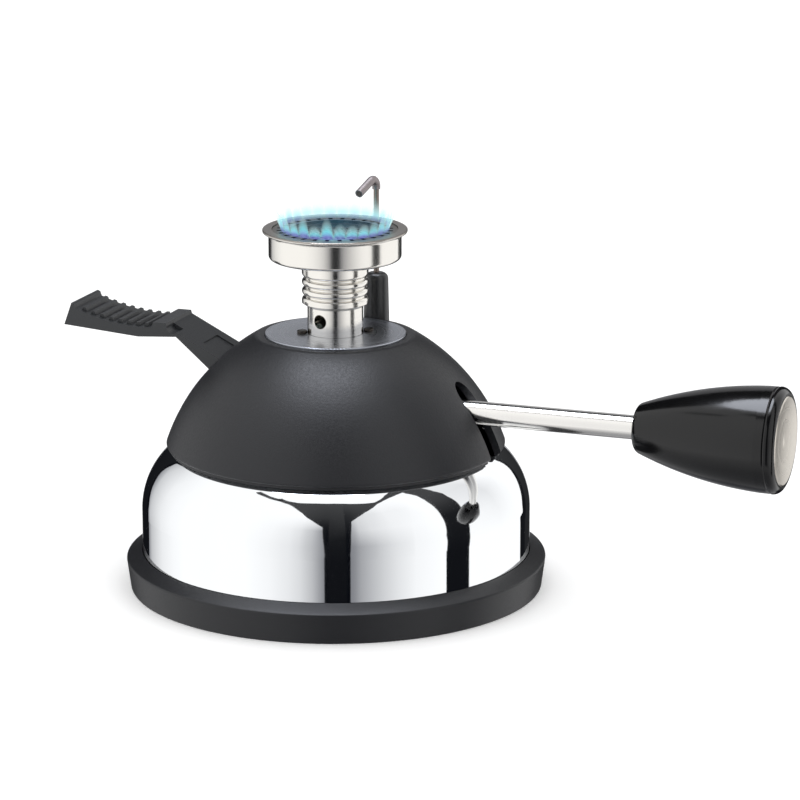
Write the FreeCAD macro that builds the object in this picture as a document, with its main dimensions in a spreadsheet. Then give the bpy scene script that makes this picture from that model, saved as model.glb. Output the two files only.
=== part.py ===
import FreeCAD, Part
import math
import os

import Sketcher

# Table-top gas burner: base ring, chromed housing, domed shell, burner head, lever and handle.
# Millimetres. The burner axis is Z and the table is Z = 0. The rod and handle point along +X
# and the ignition lever along -X.

Vector = FreeCAD.Vector
doc = FreeCAD.newDocument("gas_burner")
sheet = doc.addObject("Spreadsheet::Sheet", "sizes")

DRIVING_SIZES = {
    # Base ring and bottom plate
    "ring_overhang": 4.9,
    "foot_inset": 1.2,
    "foot_width": 5.3,
    "ring_edge_height": 9.1,
    "ring_bevel_rise": 2.3,
    "ring_edge_round": 0.6,
    "ring_fit_gap": 0.2,
    "shelf_beyond_lip": 1.0,
    "shelf_thickness": 2.0,
    "floor_clearance": 2.0,
    "bottom_plate_thickness": 1.2,
    "bottom_plate_gap": 0.3,
    # Chromed housing
    "housing_radius": 59.1,
    "housing_wall": 0.8,
    "housing_shoulder_height": 24.2,
    "housing_flat_radius": 36.1,
    "housing_lip_width": 8.1,
    # Screws
    "screw_clearance": 0.1,
    "base_screw_inset": 5.1,
    "base_screw_radius": 1.5,
    "base_screw_head_radius": 2.7,
    "base_screw_head_height": 1.3,
    "base_screw_tip": 0.8,
    "frame_screw_inset": 1.8,
    "frame_screw_radius": 1.25,
    "frame_screw_head_radius": 2.2,
    "frame_screw_head_height": 1.4,
    "frame_screw_tip": 1.0,
    "plate_screw_reach": 1.68,
    "plate_screw_angle": 27.0,
    "plate_screw_radius": 1.0,
    "plate_screw_head_radius": 1.5,
    "plate_screw_head_height": 0.9,
    "plate_screw_depth": 5.0,
    "screw_slot_width": 0.6,
    "screw_slot_depth": 0.7,
    # Domed shell
    "dome_rim_inset": 7.4,
    "dome_rim_gap": 0.9,
    "dome_rim_round": 0.8,
    "dome_land_setback": 1.2,
    "dome_land_gap": 0.05,
    "dome_crown_border": 2.65,
    "dome_headroom": 20.2,
    "dome_curve_radius": 61.2,
    "dome_crown_round": 2.2,
    "dome_wall": 2.2,
    "dome_crown_thickness": 2.9,
    "dome_neck_gap": 0.35,
    "post_hole_gap": 0.15,
    "rod_slot_gap": 0.9,
    "rod_slot_rise": 9.0,
    "lever_slot_gap": 0.5,
    "lever_slot_bottom": 3.1,
    # Round plate in the crown
    "top_plate_radius": 21.35,
    "top_plate_thickness": 1.4,
    "top_plate_recess": 0.8,
    "top_plate_edge_round": 0.3,
    "top_plate_gap": 0.15,
    # Burner neck with its ribbed collar
    "neck_radius": 8.42,
    "neck_wall": 2.82,
    "neck_shoulder_step": 0.98,
    "neck_fit_gap": 0.08,
    "neck_rise": 23.4,
    "air_hole_radius": 2.15,
    "air_hole_rise": 5.3,
    "air_hole_turn": -13.0,
    "collar_step": 1.63,
    "collar_rib_pitch": 2.8,
    "collar_grooves": 3,
    "collar_groove_depth": 0.85,
    "collar_groove_width": 0.45,
    "collar_top_land": 5.6,
    "collar_foot_land": 3.3,
    "collar_bevel_rise": 1.1,
    # Burner cup, flame ring and gauze
    "cup_radius": 20.0,
    "cup_floor_thickness": 1.0,
    "cup_corner_radius": 1.2,
    "cup_wall": 1.0,
    "cup_rim_width": 1.8,
    "cup_depth": 9.1,
    "cup_rim_thickness": 0.9,
    "cup_flare_radius": 1.0,
    "cup_rim_round": 0.35,
    "neck_spigot_wall": 0.9,
    "neck_spigot_height": 2.2,
    "flame_ring_gap": 0.1,
    "flame_ring_drop": 0.3,
    "flame_ring_wall": 0.9,
    "flame_ring_step": 0.9,
    "flame_ring_lip": 1.5,
    "flame_slots": 28,
    "flame_slot_width": 1.25,
    "flame_slot_length": 2.5,
    "flame_slot_margin": 1.4,
    "flame_step_margin": 1.1,
    "gauze_thickness": 0.4,
    "gauze_hole_radius": 0.55,
    "gauze_hole_pitch": 1.75,
    "gauze_rings": 7,
    # Tank, feed tube and filling valve
    "tank_radius": 30.0,
    "tank_height": 25.0,
    "tank_wall": 1.8,
    "tank_lid_thickness": 2.4,
    "tank_spigot_depth": 1.6,
    "tank_spigot_gap": 0.1,
    "tank_boss_radius": 9.0,
    "tank_boss_height": 2.8,
    "feed_radius": 1.6,
    "feed_clearance": 3.0,
    "refill_offset": -16.0,
    "refill_flange_radius": 4.8,
    "refill_flange_thickness": 1.2,
    "refill_body_radius": 3.5,
    "refill_body_height": 12.0,
    "refill_socket_radius": 2.6,
    "refill_socket_depth": 1.4,
    "refill_chamber_radius": 2.5,
    "refill_chamber_floor": 4.0,
    "refill_chamber_height": 6.5,
    "refill_vent_radius": 0.6,
    "refill_stem_radius": 1.0,
    "refill_stem_drop": 1.0,
    "refill_stem_head_radius": 2.2,
    "refill_stem_head_height": 1.4,
    "refill_seal_thickness": 1.0,
    "refill_gap": 0.05,
    "refill_spring_radius": 1.8,
    "refill_spring_wire": 0.4,
    "refill_spring_turns": 3,
    # Valve body, needle and spindle
    "valve_thread_radius": 5.0,
    "valve_thread_depth": 9.2,
    "valve_collar_radius": 8.5,
    "valve_collar_height": 3.0,
    "valve_column_radius": 6.5,
    "valve_block_radius": 7.5,
    "valve_block_rise": 6.3,
    "valve_gas_bore": 0.8,
    "valve_barrel_radius": 6.0,
    "valve_barrel_length": 17.0,
    "valve_fit_gap": 0.05,
    "valve_chamber_start": 7.0,
    "valve_seat_start": 1.2,
    "valve_seat_radius": 0.7,
    "needle_radius": 1.6,
    "needle_tip_radius": 0.2,
    "needle_tip_start": 0.8,
    "needle_cone_length": 2.1,
    "needle_shoulder_gap": 1.3,
    "needle_tail_radius": 1.2,
    "needle_tail_length": 4.2,
    "spindle_radius": 3.0,
    "spindle_needle_gap": 1.2,
    "spindle_reach": 17.0,
    "spindle_socket_gap": 1.5,
    "seal_wire_radius": 1.0,
    "gland_width": 15.0,
    "gland_overlap": 4.0,
    "gland_end_wall": 2.4,
    # Jet
    "jet_thread_radius": 2.4,
    "jet_thread_length": 2.8,
    "jet_body_radius": 3.4,
    "jet_body_length": 3.5,
    "jet_nose_radius": 1.8,
    "jet_air_hole_gap": 4.0,
    "jet_bore": 0.7,
    "jet_orifice_radius": 0.25,
    "jet_orifice_length": 0.8,
    # Rod, handle and its cap
    "rod_rise": 7.9,
    "rod_radius": 3.6,
    "rod_overlap": 10.0,
    "rod_bore_gap": 0.5,
    "rod_in_handle": 27.1,
    "rod_fit_gap": 0.05,
    "rod_pin_inset": 4.0,
    "rod_pin_radius": 0.9,
    "handle_start": 94.9,
    "handle_length": 45.0,
    "handle_nose_radius": 5.2,
    "handle_nose_length": 1.7,
    "handle_neck_radius": 7.7,
    "handle_swell_setback": 5.9,
    "handle_swell_radius": 15.7,
    "handle_curve_radius": 115.4,
    "handle_seam_setback": 3.0,
    "handle_seam_width": 0.8,
    "handle_seam_depth": 0.12,
    "handle_edge_setback": 2.5,
    "handle_edge_radius": 15.8,
    "handle_end_radius": 14.0,
    "handle_end_curve": 2.6,
    "cap_rim_width": 0.8,
    "cap_seat_depth": 1.2,
    "cap_proud": 0.2,
    "cap_bevel": 0.35,
    "cap_dish_depth": 0.6,
    "cap_gap": 0.1,
    "cap_stem_radius": 4.0,
    "cap_stem_length": 12.0,
    # Frame inside the dome
    "frame_edge_gap": 1.1,
    "frame_seat_width": 4.0,
    "frame_thickness": 2.0,
    "frame_valve_gap": 0.3,
    "frame_leg_width": 9.0,
    "frame_strut_set": 0.8,
    "frame_leg_depth": 9.0,
    "frame_leg_drop": 7.6,
    "frame_strut_depth": 7.2,
    "frame_crown_radius": 16.0,
    "frame_crown_thickness": 3.0,
    "frame_strut_inner": 11.0,
    "frame_wire_slot_width": 3.0,
    "frame_wire_slot_depth": 10.2,
    "cheek_thickness": 3.0,
    "cheek_radius": 5.0,
    # Lever and its pin
    "lever_pivot_gap": 1.3,
    "lever_pivot_rise": 8.3,
    "lever_boss_radius": 4.2,
    "lever_width": 19.5,
    "lever_side_gap": 0.35,
    "lever_arm_slope": 0.5,
    "lever_arm_reach": 35.2,
    "lever_arm_height": 12.5,
    "lever_arm_depth": 4.6,
    "lever_knuckle_reach": 51.4,
    "lever_knuckle_height": 21.5,
    "lever_knuckle_length": 4.3,
    "lever_knuckle_step": 0.3,
    "lever_pad_length": 27.2,
    "lever_pad_low_reach": 3.8,
    "lever_pad_low_height": 20.75,
    "lever_pad_curve": 61.0,
    "lever_toe_length": 2.5,
    "lever_toe_height": 18.5,
    "lever_keel_reach": 5.1,
    "lever_keel_height": 16.6,
    "lever_heel_setback": 3.2,
    "lever_heel_height": 17.5,
    "lever_stop_reach": 36.6,
    "lever_stop_height": 7.6,
    "lever_rib_pitch": 2.96,
    "lever_rib_tip_margin": 3.8,
    "lever_rib_knuckle_margin": 2.2,
    "lever_rib_side_margin": 1.5,
    "lever_rib_height": 1.1,
    "lever_rib_root": 0.15,
    "lever_rib_base": 1.9,
    "lever_rib_top": 0.9,
    "lever_lip_width": 0.9,
    "lever_skin": 1.5,
    "lever_scoop_setback": 2.1,
    "lever_scoop_height": 20.2,
    "lever_scoop_radius": 1.9,
    "lever_scoop_length": 5.4,
    "lever_panel_setback": 10.4,
    "lever_panel_length": 5.8,
    "lever_panel_width": 11.0,
    "lever_panel_depth": 0.5,
    "lever_nose_radius": 3.0,
    "lever_nose_sink": 0.7,
    "lever_nose_width": 8.0,
    "pin_radius": 1.5,
    "pin_fit_gap": 0.04,
    "pin_overhang": 1.3,
    "clip_radius": 3.0,
    "clip_thickness": 0.7,
    "clip_gap": 0.15,
    # Spark generator
    "piezo_mouth_gap": 1.5,
    "piezo_depth": 9.0,
    "piezo_width": 11.0,
    "piezo_height": 17.5,
    "piezo_rise": 2.8,
    "piezo_flange_side": 2.0,
    "piezo_flange_thickness": 1.0,
    "piezo_window_gap": 0.2,
    "plunger_radius": 2.4,
    "plunger_fit_gap": 0.08,
    "plunger_well": 12.0,
    "plunger_tail": 7.0,
    "plunger_head_radius": 3.5,
    "plunger_head_thickness": 1.0,
    "plunger_nose_gap": 0.3,
    "lever_spring_radius": 3.0,
    "lever_spring_wire": 0.5,
    "lever_spring_turns": 4,
    "spring_end_gap": 0.02,
    # Electrode, its post and the lead
    "post_x": 3.7,
    "post_plate_gap": 0.416,
    "post_foot_radius": 4.1,
    "post_top_radius": 3.65,
    "post_rise": 14.1,
    "post_top_round": 2.0,
    "post_flange_radius": 5.0,
    "post_flange_thickness": 1.2,
    "electrode_radius": 0.85,
    "electrode_foot_drop": 7.2,
    "electrode_gap": 0.05,
    "electrode_rise": 11.75,
    "electrode_reach": 11.0,
    "electrode_drop": 3.85,
    "electrode_bend": 2.5,
    "electrode_tip_radius": 1.25,
    "electrode_sleeve_drop": 4.2,
    "lead_radius": 0.8,
    "lead_rise": 1.9,
    "lead_turn_gap": 8.5,
    "lead_wall_x": -8.0,
    "lead_leg_gap": 3.4,
    "lead_top_drop": 5.2,
    "lead_bend": 4.0,
}


class Size:
    """A number that remembers the sheet expression it comes from."""

    def __init__(self, number, text):
        self.number = number
        self.text = text

    def __add__(self, other):
        other = size_of(other)
        return Size(self.number + other.number, f"({self.text} + {other.text})")

    def __sub__(self, other):
        other = size_of(other)
        return Size(self.number - other.number, f"({self.text} - {other.text})")

    def __mul__(self, other):
        other = size_of(other)
        return Size(self.number * other.number, f"({self.text} * {other.text})")

    def __truediv__(self, other):
        other = size_of(other)
        return Size(self.number / other.number, f"({self.text} / {other.text})")

    def __rsub__(self, other):
        return size_of(other) - self

    def __neg__(self):
        return Size(-self.number, f"(-1 * {self.text})")

    __radd__ = __add__
    __rmul__ = __mul__


def size_of(value):
    if isinstance(value, Size):
        return value
    return Size(float(value), repr(float(value)))


def root(value):
    return Size(math.sqrt(value.number), f"sqrt({value.text})")


def cosine(degrees):
    degrees = size_of(degrees)
    return Size(math.cos(math.radians(degrees.number)), f"cos({degrees.text})")


def sine(degrees):
    degrees = size_of(degrees)
    return Size(math.sin(math.radians(degrees.number)), f"sin({degrees.text})")


class Sheet:
    """The driving sizes, each with its number and its alias in the sheet."""

    def __init__(self, driving):
        for row, (alias, number) in enumerate(driving.items(), start=1):
            sheet.set(f"A{row}", alias)
            sheet.set(f"B{row}", repr(number))
            sheet.setAlias(f"B{row}", alias)
            setattr(self, alias, Size(float(number), f"sizes.{alias}"))


s = Sheet(DRIVING_SIZES)
doc.recompute()

# Heights, radii and places that several pieces share
plate_top = s.floor_clearance + s.bottom_plate_thickness
housing_foot = plate_top + s.shelf_thickness
shoulder_radius = s.housing_radius - s.housing_flat_radius
housing_top = s.housing_shoulder_height + shoulder_radius
housing_lip_radius = s.housing_radius - s.housing_lip_width
base_screw_circle = s.housing_radius - s.base_screw_inset
foot_inner_radius = s.housing_radius + s.ring_overhang - s.foot_inset - s.foot_width
frame_top = housing_top + s.frame_thickness
frame_radius = s.housing_flat_radius - s.frame_edge_gap
housing_mouth = frame_radius - s.frame_seat_width
frame_screw_circle = frame_radius - s.frame_screw_inset
tank_top = plate_top + s.tank_height
boss_top = tank_top + s.tank_boss_height
rod_height = frame_top + s.rod_rise
valve_block_top = rod_height + s.valve_block_rise
lever_pivot_x = -(s.valve_block_radius + s.lever_boss_radius + s.lever_pivot_gap)
lever_pivot_z = frame_top + s.lever_pivot_rise
cheek_inner = s.lever_width / 2 + s.lever_side_gap
cheek_outer = cheek_inner + s.cheek_thickness
knuckle_end = s.lever_knuckle_reach + s.lever_knuckle_length
pad_low_reach = knuckle_end + s.lever_pad_low_reach
lever_tip_reach = knuckle_end + s.lever_pad_length
crown_height = lever_pivot_z + s.dome_headroom
crown_bottom = crown_height - s.dome_crown_thickness
crown_radius = s.top_plate_radius + s.dome_crown_border
recess_floor = crown_height - s.top_plate_recess
dome_rim_radius = s.housing_radius - s.dome_rim_inset
rim_past_flat = dome_rim_radius - s.dome_wall - s.housing_flat_radius
shoulder_under_rim = s.housing_shoulder_height + root(
    shoulder_radius * shoulder_radius - rim_past_flat * rim_past_flat)
dome_rim_height = shoulder_under_rim + s.dome_rim_gap
plate_screw_circle = s.neck_radius + s.plate_screw_reach
frame_crown_bottom = crown_bottom - s.frame_crown_thickness
frame_leg_top = crown_bottom - s.frame_leg_drop
post_circle = s.top_plate_radius + s.post_foot_radius + s.post_plate_gap
post_y = root(post_circle * post_circle - s.post_x * s.post_x)
leg_inner = post_y - s.frame_leg_width / 2
leg_outer = post_y + s.frame_leg_width / 2
neck_bore = s.neck_radius - s.neck_wall
neck_shoulder_radius = s.neck_radius + s.neck_shoulder_step
neck_spigot_radius = neck_bore + s.neck_spigot_wall
air_hole_height = crown_height + s.air_hole_rise
cup_bottom = crown_height + s.neck_rise
cup_top = cup_bottom + s.cup_depth
cup_rim_radius = s.cup_radius + s.cup_rim_width
flame_ring_top = cup_top - s.flame_ring_drop
flame_ring_radius = s.cup_radius - s.cup_wall - s.flame_ring_gap
piezo_x = s.piezo_mouth_gap + s.piezo_depth / 2 - housing_mouth
piezo_top = frame_top + s.piezo_rise
arm_over_piezo = s.lever_arm_height - (s.lever_arm_reach + piezo_x) * s.lever_arm_slope
nose_height = arm_over_piezo - s.lever_arm_depth + s.lever_nose_sink
plunger_top = lever_pivot_z + nose_height - s.lever_nose_radius - s.plunger_nose_gap
refill_chamber_bottom = s.floor_clearance + s.refill_chamber_floor
refill_head_bottom = refill_chamber_bottom + s.refill_seal_thickness
refill_head_top = refill_head_bottom + s.refill_stem_head_height
refill_chamber_top = refill_chamber_bottom + s.refill_chamber_height
needle_shoulder = s.valve_chamber_start + s.needle_shoulder_gap
needle_end = needle_shoulder + s.needle_tail_length
spindle_start = needle_shoulder + s.spindle_needle_gap
spindle_end = s.valve_barrel_length + s.spindle_reach
rod_start = spindle_end - s.rod_overlap
rod_end = s.handle_start + s.rod_in_handle
handle_end = s.handle_start + s.handle_length
cap_radius = s.handle_end_radius - s.cap_rim_width
cap_seat = handle_end - s.cap_seat_depth
seal_start = s.valve_barrel_length + s.refill_gap


# Sketches and features

def new_body(name, base=(0, 0, 0), axis=None, angle=0):
    body = doc.addObject("PartDesign::Body", name)
    body.Label = name
    if axis is not None:
        body.Placement.Rotation = FreeCAD.Rotation(Vector(*axis), size_of(angle).number)
        if isinstance(angle, Size):
            body.setExpression("Placement.Rotation.Angle", angle.text)
    for letter, value in zip("xyz", base):
        if isinstance(value, Size):
            body.setExpression(f"Placement.Base.{letter}", value.text)
    return body


def new_sketch(body, role, offset=None):
    sketch = body.newObject("Sketcher::SketchObject", f"{body.Name}_sketch")
    plane = next(item for item in body.Origin.OriginFeatures if item.Role == role)
    sketch.AttachmentSupport = [(plane, "")]
    sketch.MapMode = "FlatFace"
    if offset is not None:
        sketch.setExpression("AttachmentOffset.Base.z", size_of(offset).text)
    return sketch


def bind(sketch, constraint, value):
    index = sketch.addConstraint(constraint)
    name = f"size_{index}"
    sketch.renameConstraint(index, name)
    sketch.setExpression(f"Constraints.{name}", value.text)


def arc_between(start, end, radius):
    """Arc from start to end. A positive radius turns to the left, a negative one to the right."""
    middle = (start + end) * 0.5
    chord = end - start
    reach = math.sqrt(max(0.0, radius * radius - chord.Length ** 2 / 4))
    left = Vector(-chord.y, chord.x, 0).normalize()
    side = 1 if radius > 0 else -1
    centre = middle + left * reach * side
    first, last = (start, end) if radius > 0 else (end, start)
    circle = Part.Circle(centre, Vector(0, 0, 1), abs(radius))
    from_angle = math.atan2(first.y - centre.y, first.x - centre.x)
    to_angle = math.atan2(last.y - centre.y, last.x - centre.x)
    if to_angle < from_angle:
        to_angle += 2 * math.pi
    return Part.ArcOfCircle(circle, from_angle, to_angle)


def draw_outline(sketch, corners):
    """Closed outline. A corner (x, y) ends a line; (x, y, radius) ends an arc of that radius."""
    points = [Vector(size_of(corner[0]).number, size_of(corner[1]).number, 0) for corner in corners]
    first = sketch.GeometryCount
    count = len(corners)
    starts = []
    ends = []
    for index, corner in enumerate(corners):
        begin = points[index - 1]
        finish = points[index]
        geometry = first + index
        if len(corner) == 3:
            radius = size_of(corner[2])
            sketch.addGeometry(arc_between(begin, finish, radius.number), False)
            starts.append((geometry, 1 if radius.number > 0 else 2))
            ends.append((geometry, 2 if radius.number > 0 else 1))
        else:
            sketch.addGeometry(Part.LineSegment(begin, finish), False)
            starts.append((geometry, 1))
            ends.append((geometry, 2))
    for index in range(count):
        following = starts[(index + 1) % count]
        sketch.addConstraint(Sketcher.Constraint("Coincident", *ends[index], *following))
    for index, corner in enumerate(corners):
        across = size_of(corner[0])
        up = size_of(corner[1])
        bind(sketch, Sketcher.Constraint("DistanceX", -1, 1, *ends[index], across.number), across)
        bind(sketch, Sketcher.Constraint("DistanceY", -1, 1, *ends[index], up.number), up)
        if len(corner) == 3:
            radius = size_of(corner[2])
            length = radius if radius.number > 0 else -radius
            bind(sketch, Sketcher.Constraint("Radius", first + index, length.number), length)
    return sketch


def draw_circle(sketch, across, up, radius):
    across = size_of(across)
    up = size_of(up)
    radius = size_of(radius)
    centre = Vector(across.number, up.number, 0)
    index = sketch.addGeometry(Part.Circle(centre, Vector(0, 0, 1), radius.number), False)
    bind(sketch, Sketcher.Constraint("DistanceX", -1, 1, index, 3, across.number), across)
    bind(sketch, Sketcher.Constraint("DistanceY", -1, 1, index, 3, up.number), up)
    bind(sketch, Sketcher.Constraint("Radius", index, radius.number), radius)


def box_corners(left, bottom, right, top):
    return [(left, bottom), (right, bottom), (right, top), (left, top)]


def revolve(body, corners):
    sketch = draw_outline(new_sketch(body, "XZ_Plane"), corners)
    feature = body.newObject("PartDesign::Revolution", f"{body.Name}_turned")
    feature.Profile = sketch
    feature.ReferenceAxis = (sketch, ["V_Axis"])
    feature.Angle = 360
    sketch.Visibility = False
    doc.recompute()
    return feature


def pad(body, sketch, length, symmetric=False):
    feature = body.newObject("PartDesign::Pad", f"{body.Name}_pad")
    feature.Profile = sketch
    feature.setExpression("Length", size_of(length).text)
    if symmetric:
        feature.Midplane = True
    doc.recompute()
    return feature


def cut(body, sketch, length, reverse=False, symmetric=False):
    """Pocket that has to take material away."""
    before = body.Shape.Volume
    feature = body.newObject("PartDesign::Pocket", f"{body.Name}_cut")
    feature.Profile = sketch
    feature.Type = "Length"
    feature.setExpression("Length", size_of(length).text)
    feature.Reversed = reverse
    if symmetric:
        feature.Midplane = True
    doc.recompute()
    if not body.Shape.Volume < before:
        raise RuntimeError(f"{body.Label}: a pocket took nothing away")
    return feature


def round_rings(body, rings, radius):
    """Fillet the circular edges given as (radius, height) pairs."""
    base = body.Tip
    names = []
    for ring_radius, height in rings:
        for index, edge in enumerate(base.Shape.Edges, start=1):
            curve = edge.Curve
            if not isinstance(curve, Part.Circle):
                continue
            same_radius = abs(curve.Radius - ring_radius.number) < 0.01
            if same_radius and abs(curve.Center.z - height.number) < 0.01:
                names.append(f"Edge{index}")
    if not names:
        raise RuntimeError(f"{body.Label}: no edge to round")
    feature = body.newObject("PartDesign::Fillet", f"{body.Name}_round")
    feature.Base = (base, names)
    feature.setExpression("Radius", radius.text)
    doc.recompute()
    return feature


def turned(name, corners, base=(0, 0, 0), axis=None, angle=0):
    body = new_body(name, base, axis, angle)
    revolve(body, corners)
    return body


def turned_along_rod(name, corners):
    """Round piece on the rod's axis. Its corners are (radius, place along the rod)."""
    return turned(name, corners, base=(0, 0, rod_height), axis=(0, 1, 0), angle=90)


def around(circle, count, first_angle):
    """Centres of equal holes on a circle."""
    places = []
    for index in range(count):
        angle = size_of(first_angle) + 360.0 * index / count
        places.append((circle * cosine(angle), circle * sine(angle)))
    return places


def holes(body, places, radius, height, depth):
    """Vertical holes that start at a height and go down by a depth."""
    sketch = new_sketch(body, "XY_Plane", height)
    for across, up in places:
        draw_circle(sketch, across, up, radius)
    return cut(body, sketch, depth)


def solid_feature(name, shape):
    feature = doc.addObject("Part::Feature", name)
    feature.Label = name
    feature.Shape = shape
    return feature


def cylinder(radius, bottom, top, x=0.0, y=0.0):
    return Part.makeCylinder(radius, top - bottom, Vector(x, y, bottom))


def bent_path(points, bend):
    """Straight runs joined by tangent arcs."""
    edges = []
    start = points[0]
    for before, corner, after in zip(points, points[1:], points[2:]):
        inward = (before - corner).normalize()
        outward = (after - corner).normalize()
        half_turn = (math.pi - inward.getAngle(outward)) / 2
        setback = bend * math.tan(half_turn)
        arc_start = corner + inward * setback
        arc_end = corner + outward * setback
        to_centre = (inward + outward).normalize()
        middle = corner + to_centre * (bend / math.cos(half_turn) - bend)
        edges.append(Part.makeLine(start, arc_start))
        edges.append(Part.Arc(arc_start, middle, arc_end).toShape())
        start = arc_end
    edges.append(Part.makeLine(start, points[-1]))
    return Part.Wire(edges)


def swept(path, radius):
    start = path.Edges[0]
    direction = start.tangentAt(start.FirstParameter)
    section = Part.Wire(Part.makeCircle(radius, start.valueAt(start.FirstParameter), direction))
    return path.makePipeShell([section], True, False)


def arc_from(start, direction, finish):
    """Arc that leaves the start along a direction and ends at the finish."""
    chord = finish - start
    along = direction * direction.dot(chord)
    inward = (chord - along).normalize()
    radius = chord.Length ** 2 / (2 * inward.dot(chord))
    centre = start + inward * radius
    outward = (start - centre + finish - centre).normalize()
    return Part.Arc(start, centre + outward * radius, finish).toShape()


def coil(radius, wire, bottom, top, turns, x=0.0, y=0.0):
    """Open coil spring whose wire lies between two heights, as two tangent arcs a quarter turn."""
    rise = (top - bottom - 2 * wire) / turns / (2 * math.pi)

    def place(angle):
        return Vector(x + radius * math.cos(angle), y + radius * math.sin(angle),
                      bottom + wire + rise * angle)

    def direction(angle):
        return Vector(-radius * math.sin(angle), radius * math.cos(angle), rise).normalize()

    edges = []
    for quarter in range(4 * turns):
        start_angle = math.pi / 2 * quarter
        end_angle = start_angle + math.pi / 2
        start = place(start_angle)
        finish = place(end_angle)
        chord = finish - start
        ahead = direction(start_angle) + direction(end_angle)
        spread = 2 - 2 * direction(start_angle).dot(direction(end_angle))
        reach = chord.dot(ahead)
        setback = (math.sqrt(reach * reach + spread * chord.dot(chord)) - reach) / spread
        before = start + direction(start_angle) * setback
        after = finish - direction(end_angle) * setback
        joint = (before + after) * 0.5
        edges.append(arc_from(start, direction(start_angle), joint))
        edges.append(arc_from(joint, (after - before).normalize(), finish))
    return swept(Part.Wire(edges), wire / 2)


def pan_head_screw(head_radius, head_height, shank_radius, shank_length):
    """Screw with its head above z = 0, its shank below and a driver slot across the head."""
    head = cylinder(head_radius, 0, head_height)
    edge = [item for item in head.Edges if abs(item.BoundBox.ZMin - head_height) < 1e-6]
    head = head.makeFillet(0.3 * head_height, edge)
    screw = head.fuse(cylinder(shank_radius, -shank_length, 0)).removeSplitter()
    slot_width = s.screw_slot_width.number
    slot = Part.makeBox(3 * head_radius, slot_width, head_height)
    slot.translate(Vector(-1.5 * head_radius, -slot_width / 2, head_height - s.screw_slot_depth.number))
    return screw.cut(slot)


def screw_group(name, screw, circle, count, first_angle, height, upside_down=False):
    copies = []
    for index in range(count):
        angle = first_angle + 360.0 * index / count
        copy = screw.copy()
        if upside_down:
            copy.rotate(Vector(0, 0, 0), Vector(1, 0, 0), 180)
        place = Vector(circle, 0, height)
        copy.translate(place)
        copy.rotate(Vector(0, 0, 0), Vector(0, 0, 1), angle)
        copies.append(copy)
    return solid_feature(name, Part.makeCompound(copies))


# Base

def base_ring():
    ring_bore = s.housing_radius + s.ring_fit_gap
    ring_radius = s.housing_radius + s.ring_overhang
    foot_radius = ring_radius - s.foot_inset
    shelf_edge = housing_lip_radius - s.shelf_beyond_lip
    body = turned("base_ring", [
        (foot_inner_radius, 0),
        (foot_radius, 0),
        (ring_radius, s.ring_edge_height),
        (ring_bore, s.ring_edge_height + s.ring_bevel_rise),
        (ring_bore, housing_foot),
        (shelf_edge, housing_foot),
        (shelf_edge, plate_top),
        (foot_inner_radius, plate_top),
    ])
    round_rings(body, [(ring_radius, s.ring_edge_height), (foot_radius, size_of(0))],
                s.ring_edge_round)
    screw_holes = around(base_screw_circle, 4, 45)
    holes(body, screw_holes, s.base_screw_radius + s.screw_clearance, housing_foot, s.shelf_thickness)
    return body


def bottom_plate():
    radius = foot_inner_radius - s.bottom_plate_gap
    body = turned("bottom_plate", [
        (0, s.floor_clearance),
        (radius, s.floor_clearance),
        (radius, plate_top),
        (0, plate_top),
    ])
    screw_holes = around(base_screw_circle, 4, 45)
    holes(body, screw_holes, s.base_screw_radius + s.screw_clearance, plate_top,
          s.bottom_plate_thickness)
    holes(body, [(0, s.refill_offset)], s.refill_flange_radius + s.bottom_plate_gap, plate_top,
          s.bottom_plate_thickness)
    return body


def base_screws():
    length = (s.bottom_plate_thickness + s.shelf_thickness + s.housing_wall + s.base_screw_tip).number
    screw = pan_head_screw(s.base_screw_head_radius.number, s.base_screw_head_height.number,
                           s.base_screw_radius.number, length)
    return screw_group("base_screws", screw, base_screw_circle.number, 4, 45.0,
                       s.floor_clearance.number, upside_down=True)


# Housing

def housing_shell():
    inner = s.housing_radius - s.housing_wall
    inner_curve = shoulder_radius - s.housing_wall
    body = turned("housing_shell", [
        (housing_lip_radius, housing_foot),
        (s.housing_radius, housing_foot),
        (s.housing_radius, s.housing_shoulder_height),
        (s.housing_flat_radius, housing_top, shoulder_radius),
        (housing_mouth, housing_top),
        (housing_mouth, housing_top - s.housing_wall),
        (s.housing_flat_radius, housing_top - s.housing_wall),
        (inner, s.housing_shoulder_height, -inner_curve),
        (inner, housing_foot + s.housing_wall),
        (housing_lip_radius, housing_foot + s.housing_wall),
    ])
    tapped = s.base_screw_radius + s.screw_clearance
    holes(body, around(base_screw_circle, 4, 45), tapped, housing_foot + s.housing_wall,
          s.housing_wall)
    frame_tapped = s.frame_screw_radius + s.screw_clearance
    holes(body, around(frame_screw_circle, 4, 45), frame_tapped, housing_top, s.housing_wall)
    return body


# Dome

def dome_centre():
    """Centre of the outer curve, in the half plane through the axis."""
    run = dome_rim_radius - crown_radius
    rise = crown_height - dome_rim_height
    chord = root(run * run + rise * rise)
    depth = root(s.dome_curve_radius * s.dome_curve_radius - chord * chord / 4)
    across = (dome_rim_radius + crown_radius) / 2 - rise / chord * depth
    up = (dome_rim_height + crown_height) / 2 - run / chord * depth
    return across, up


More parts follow.
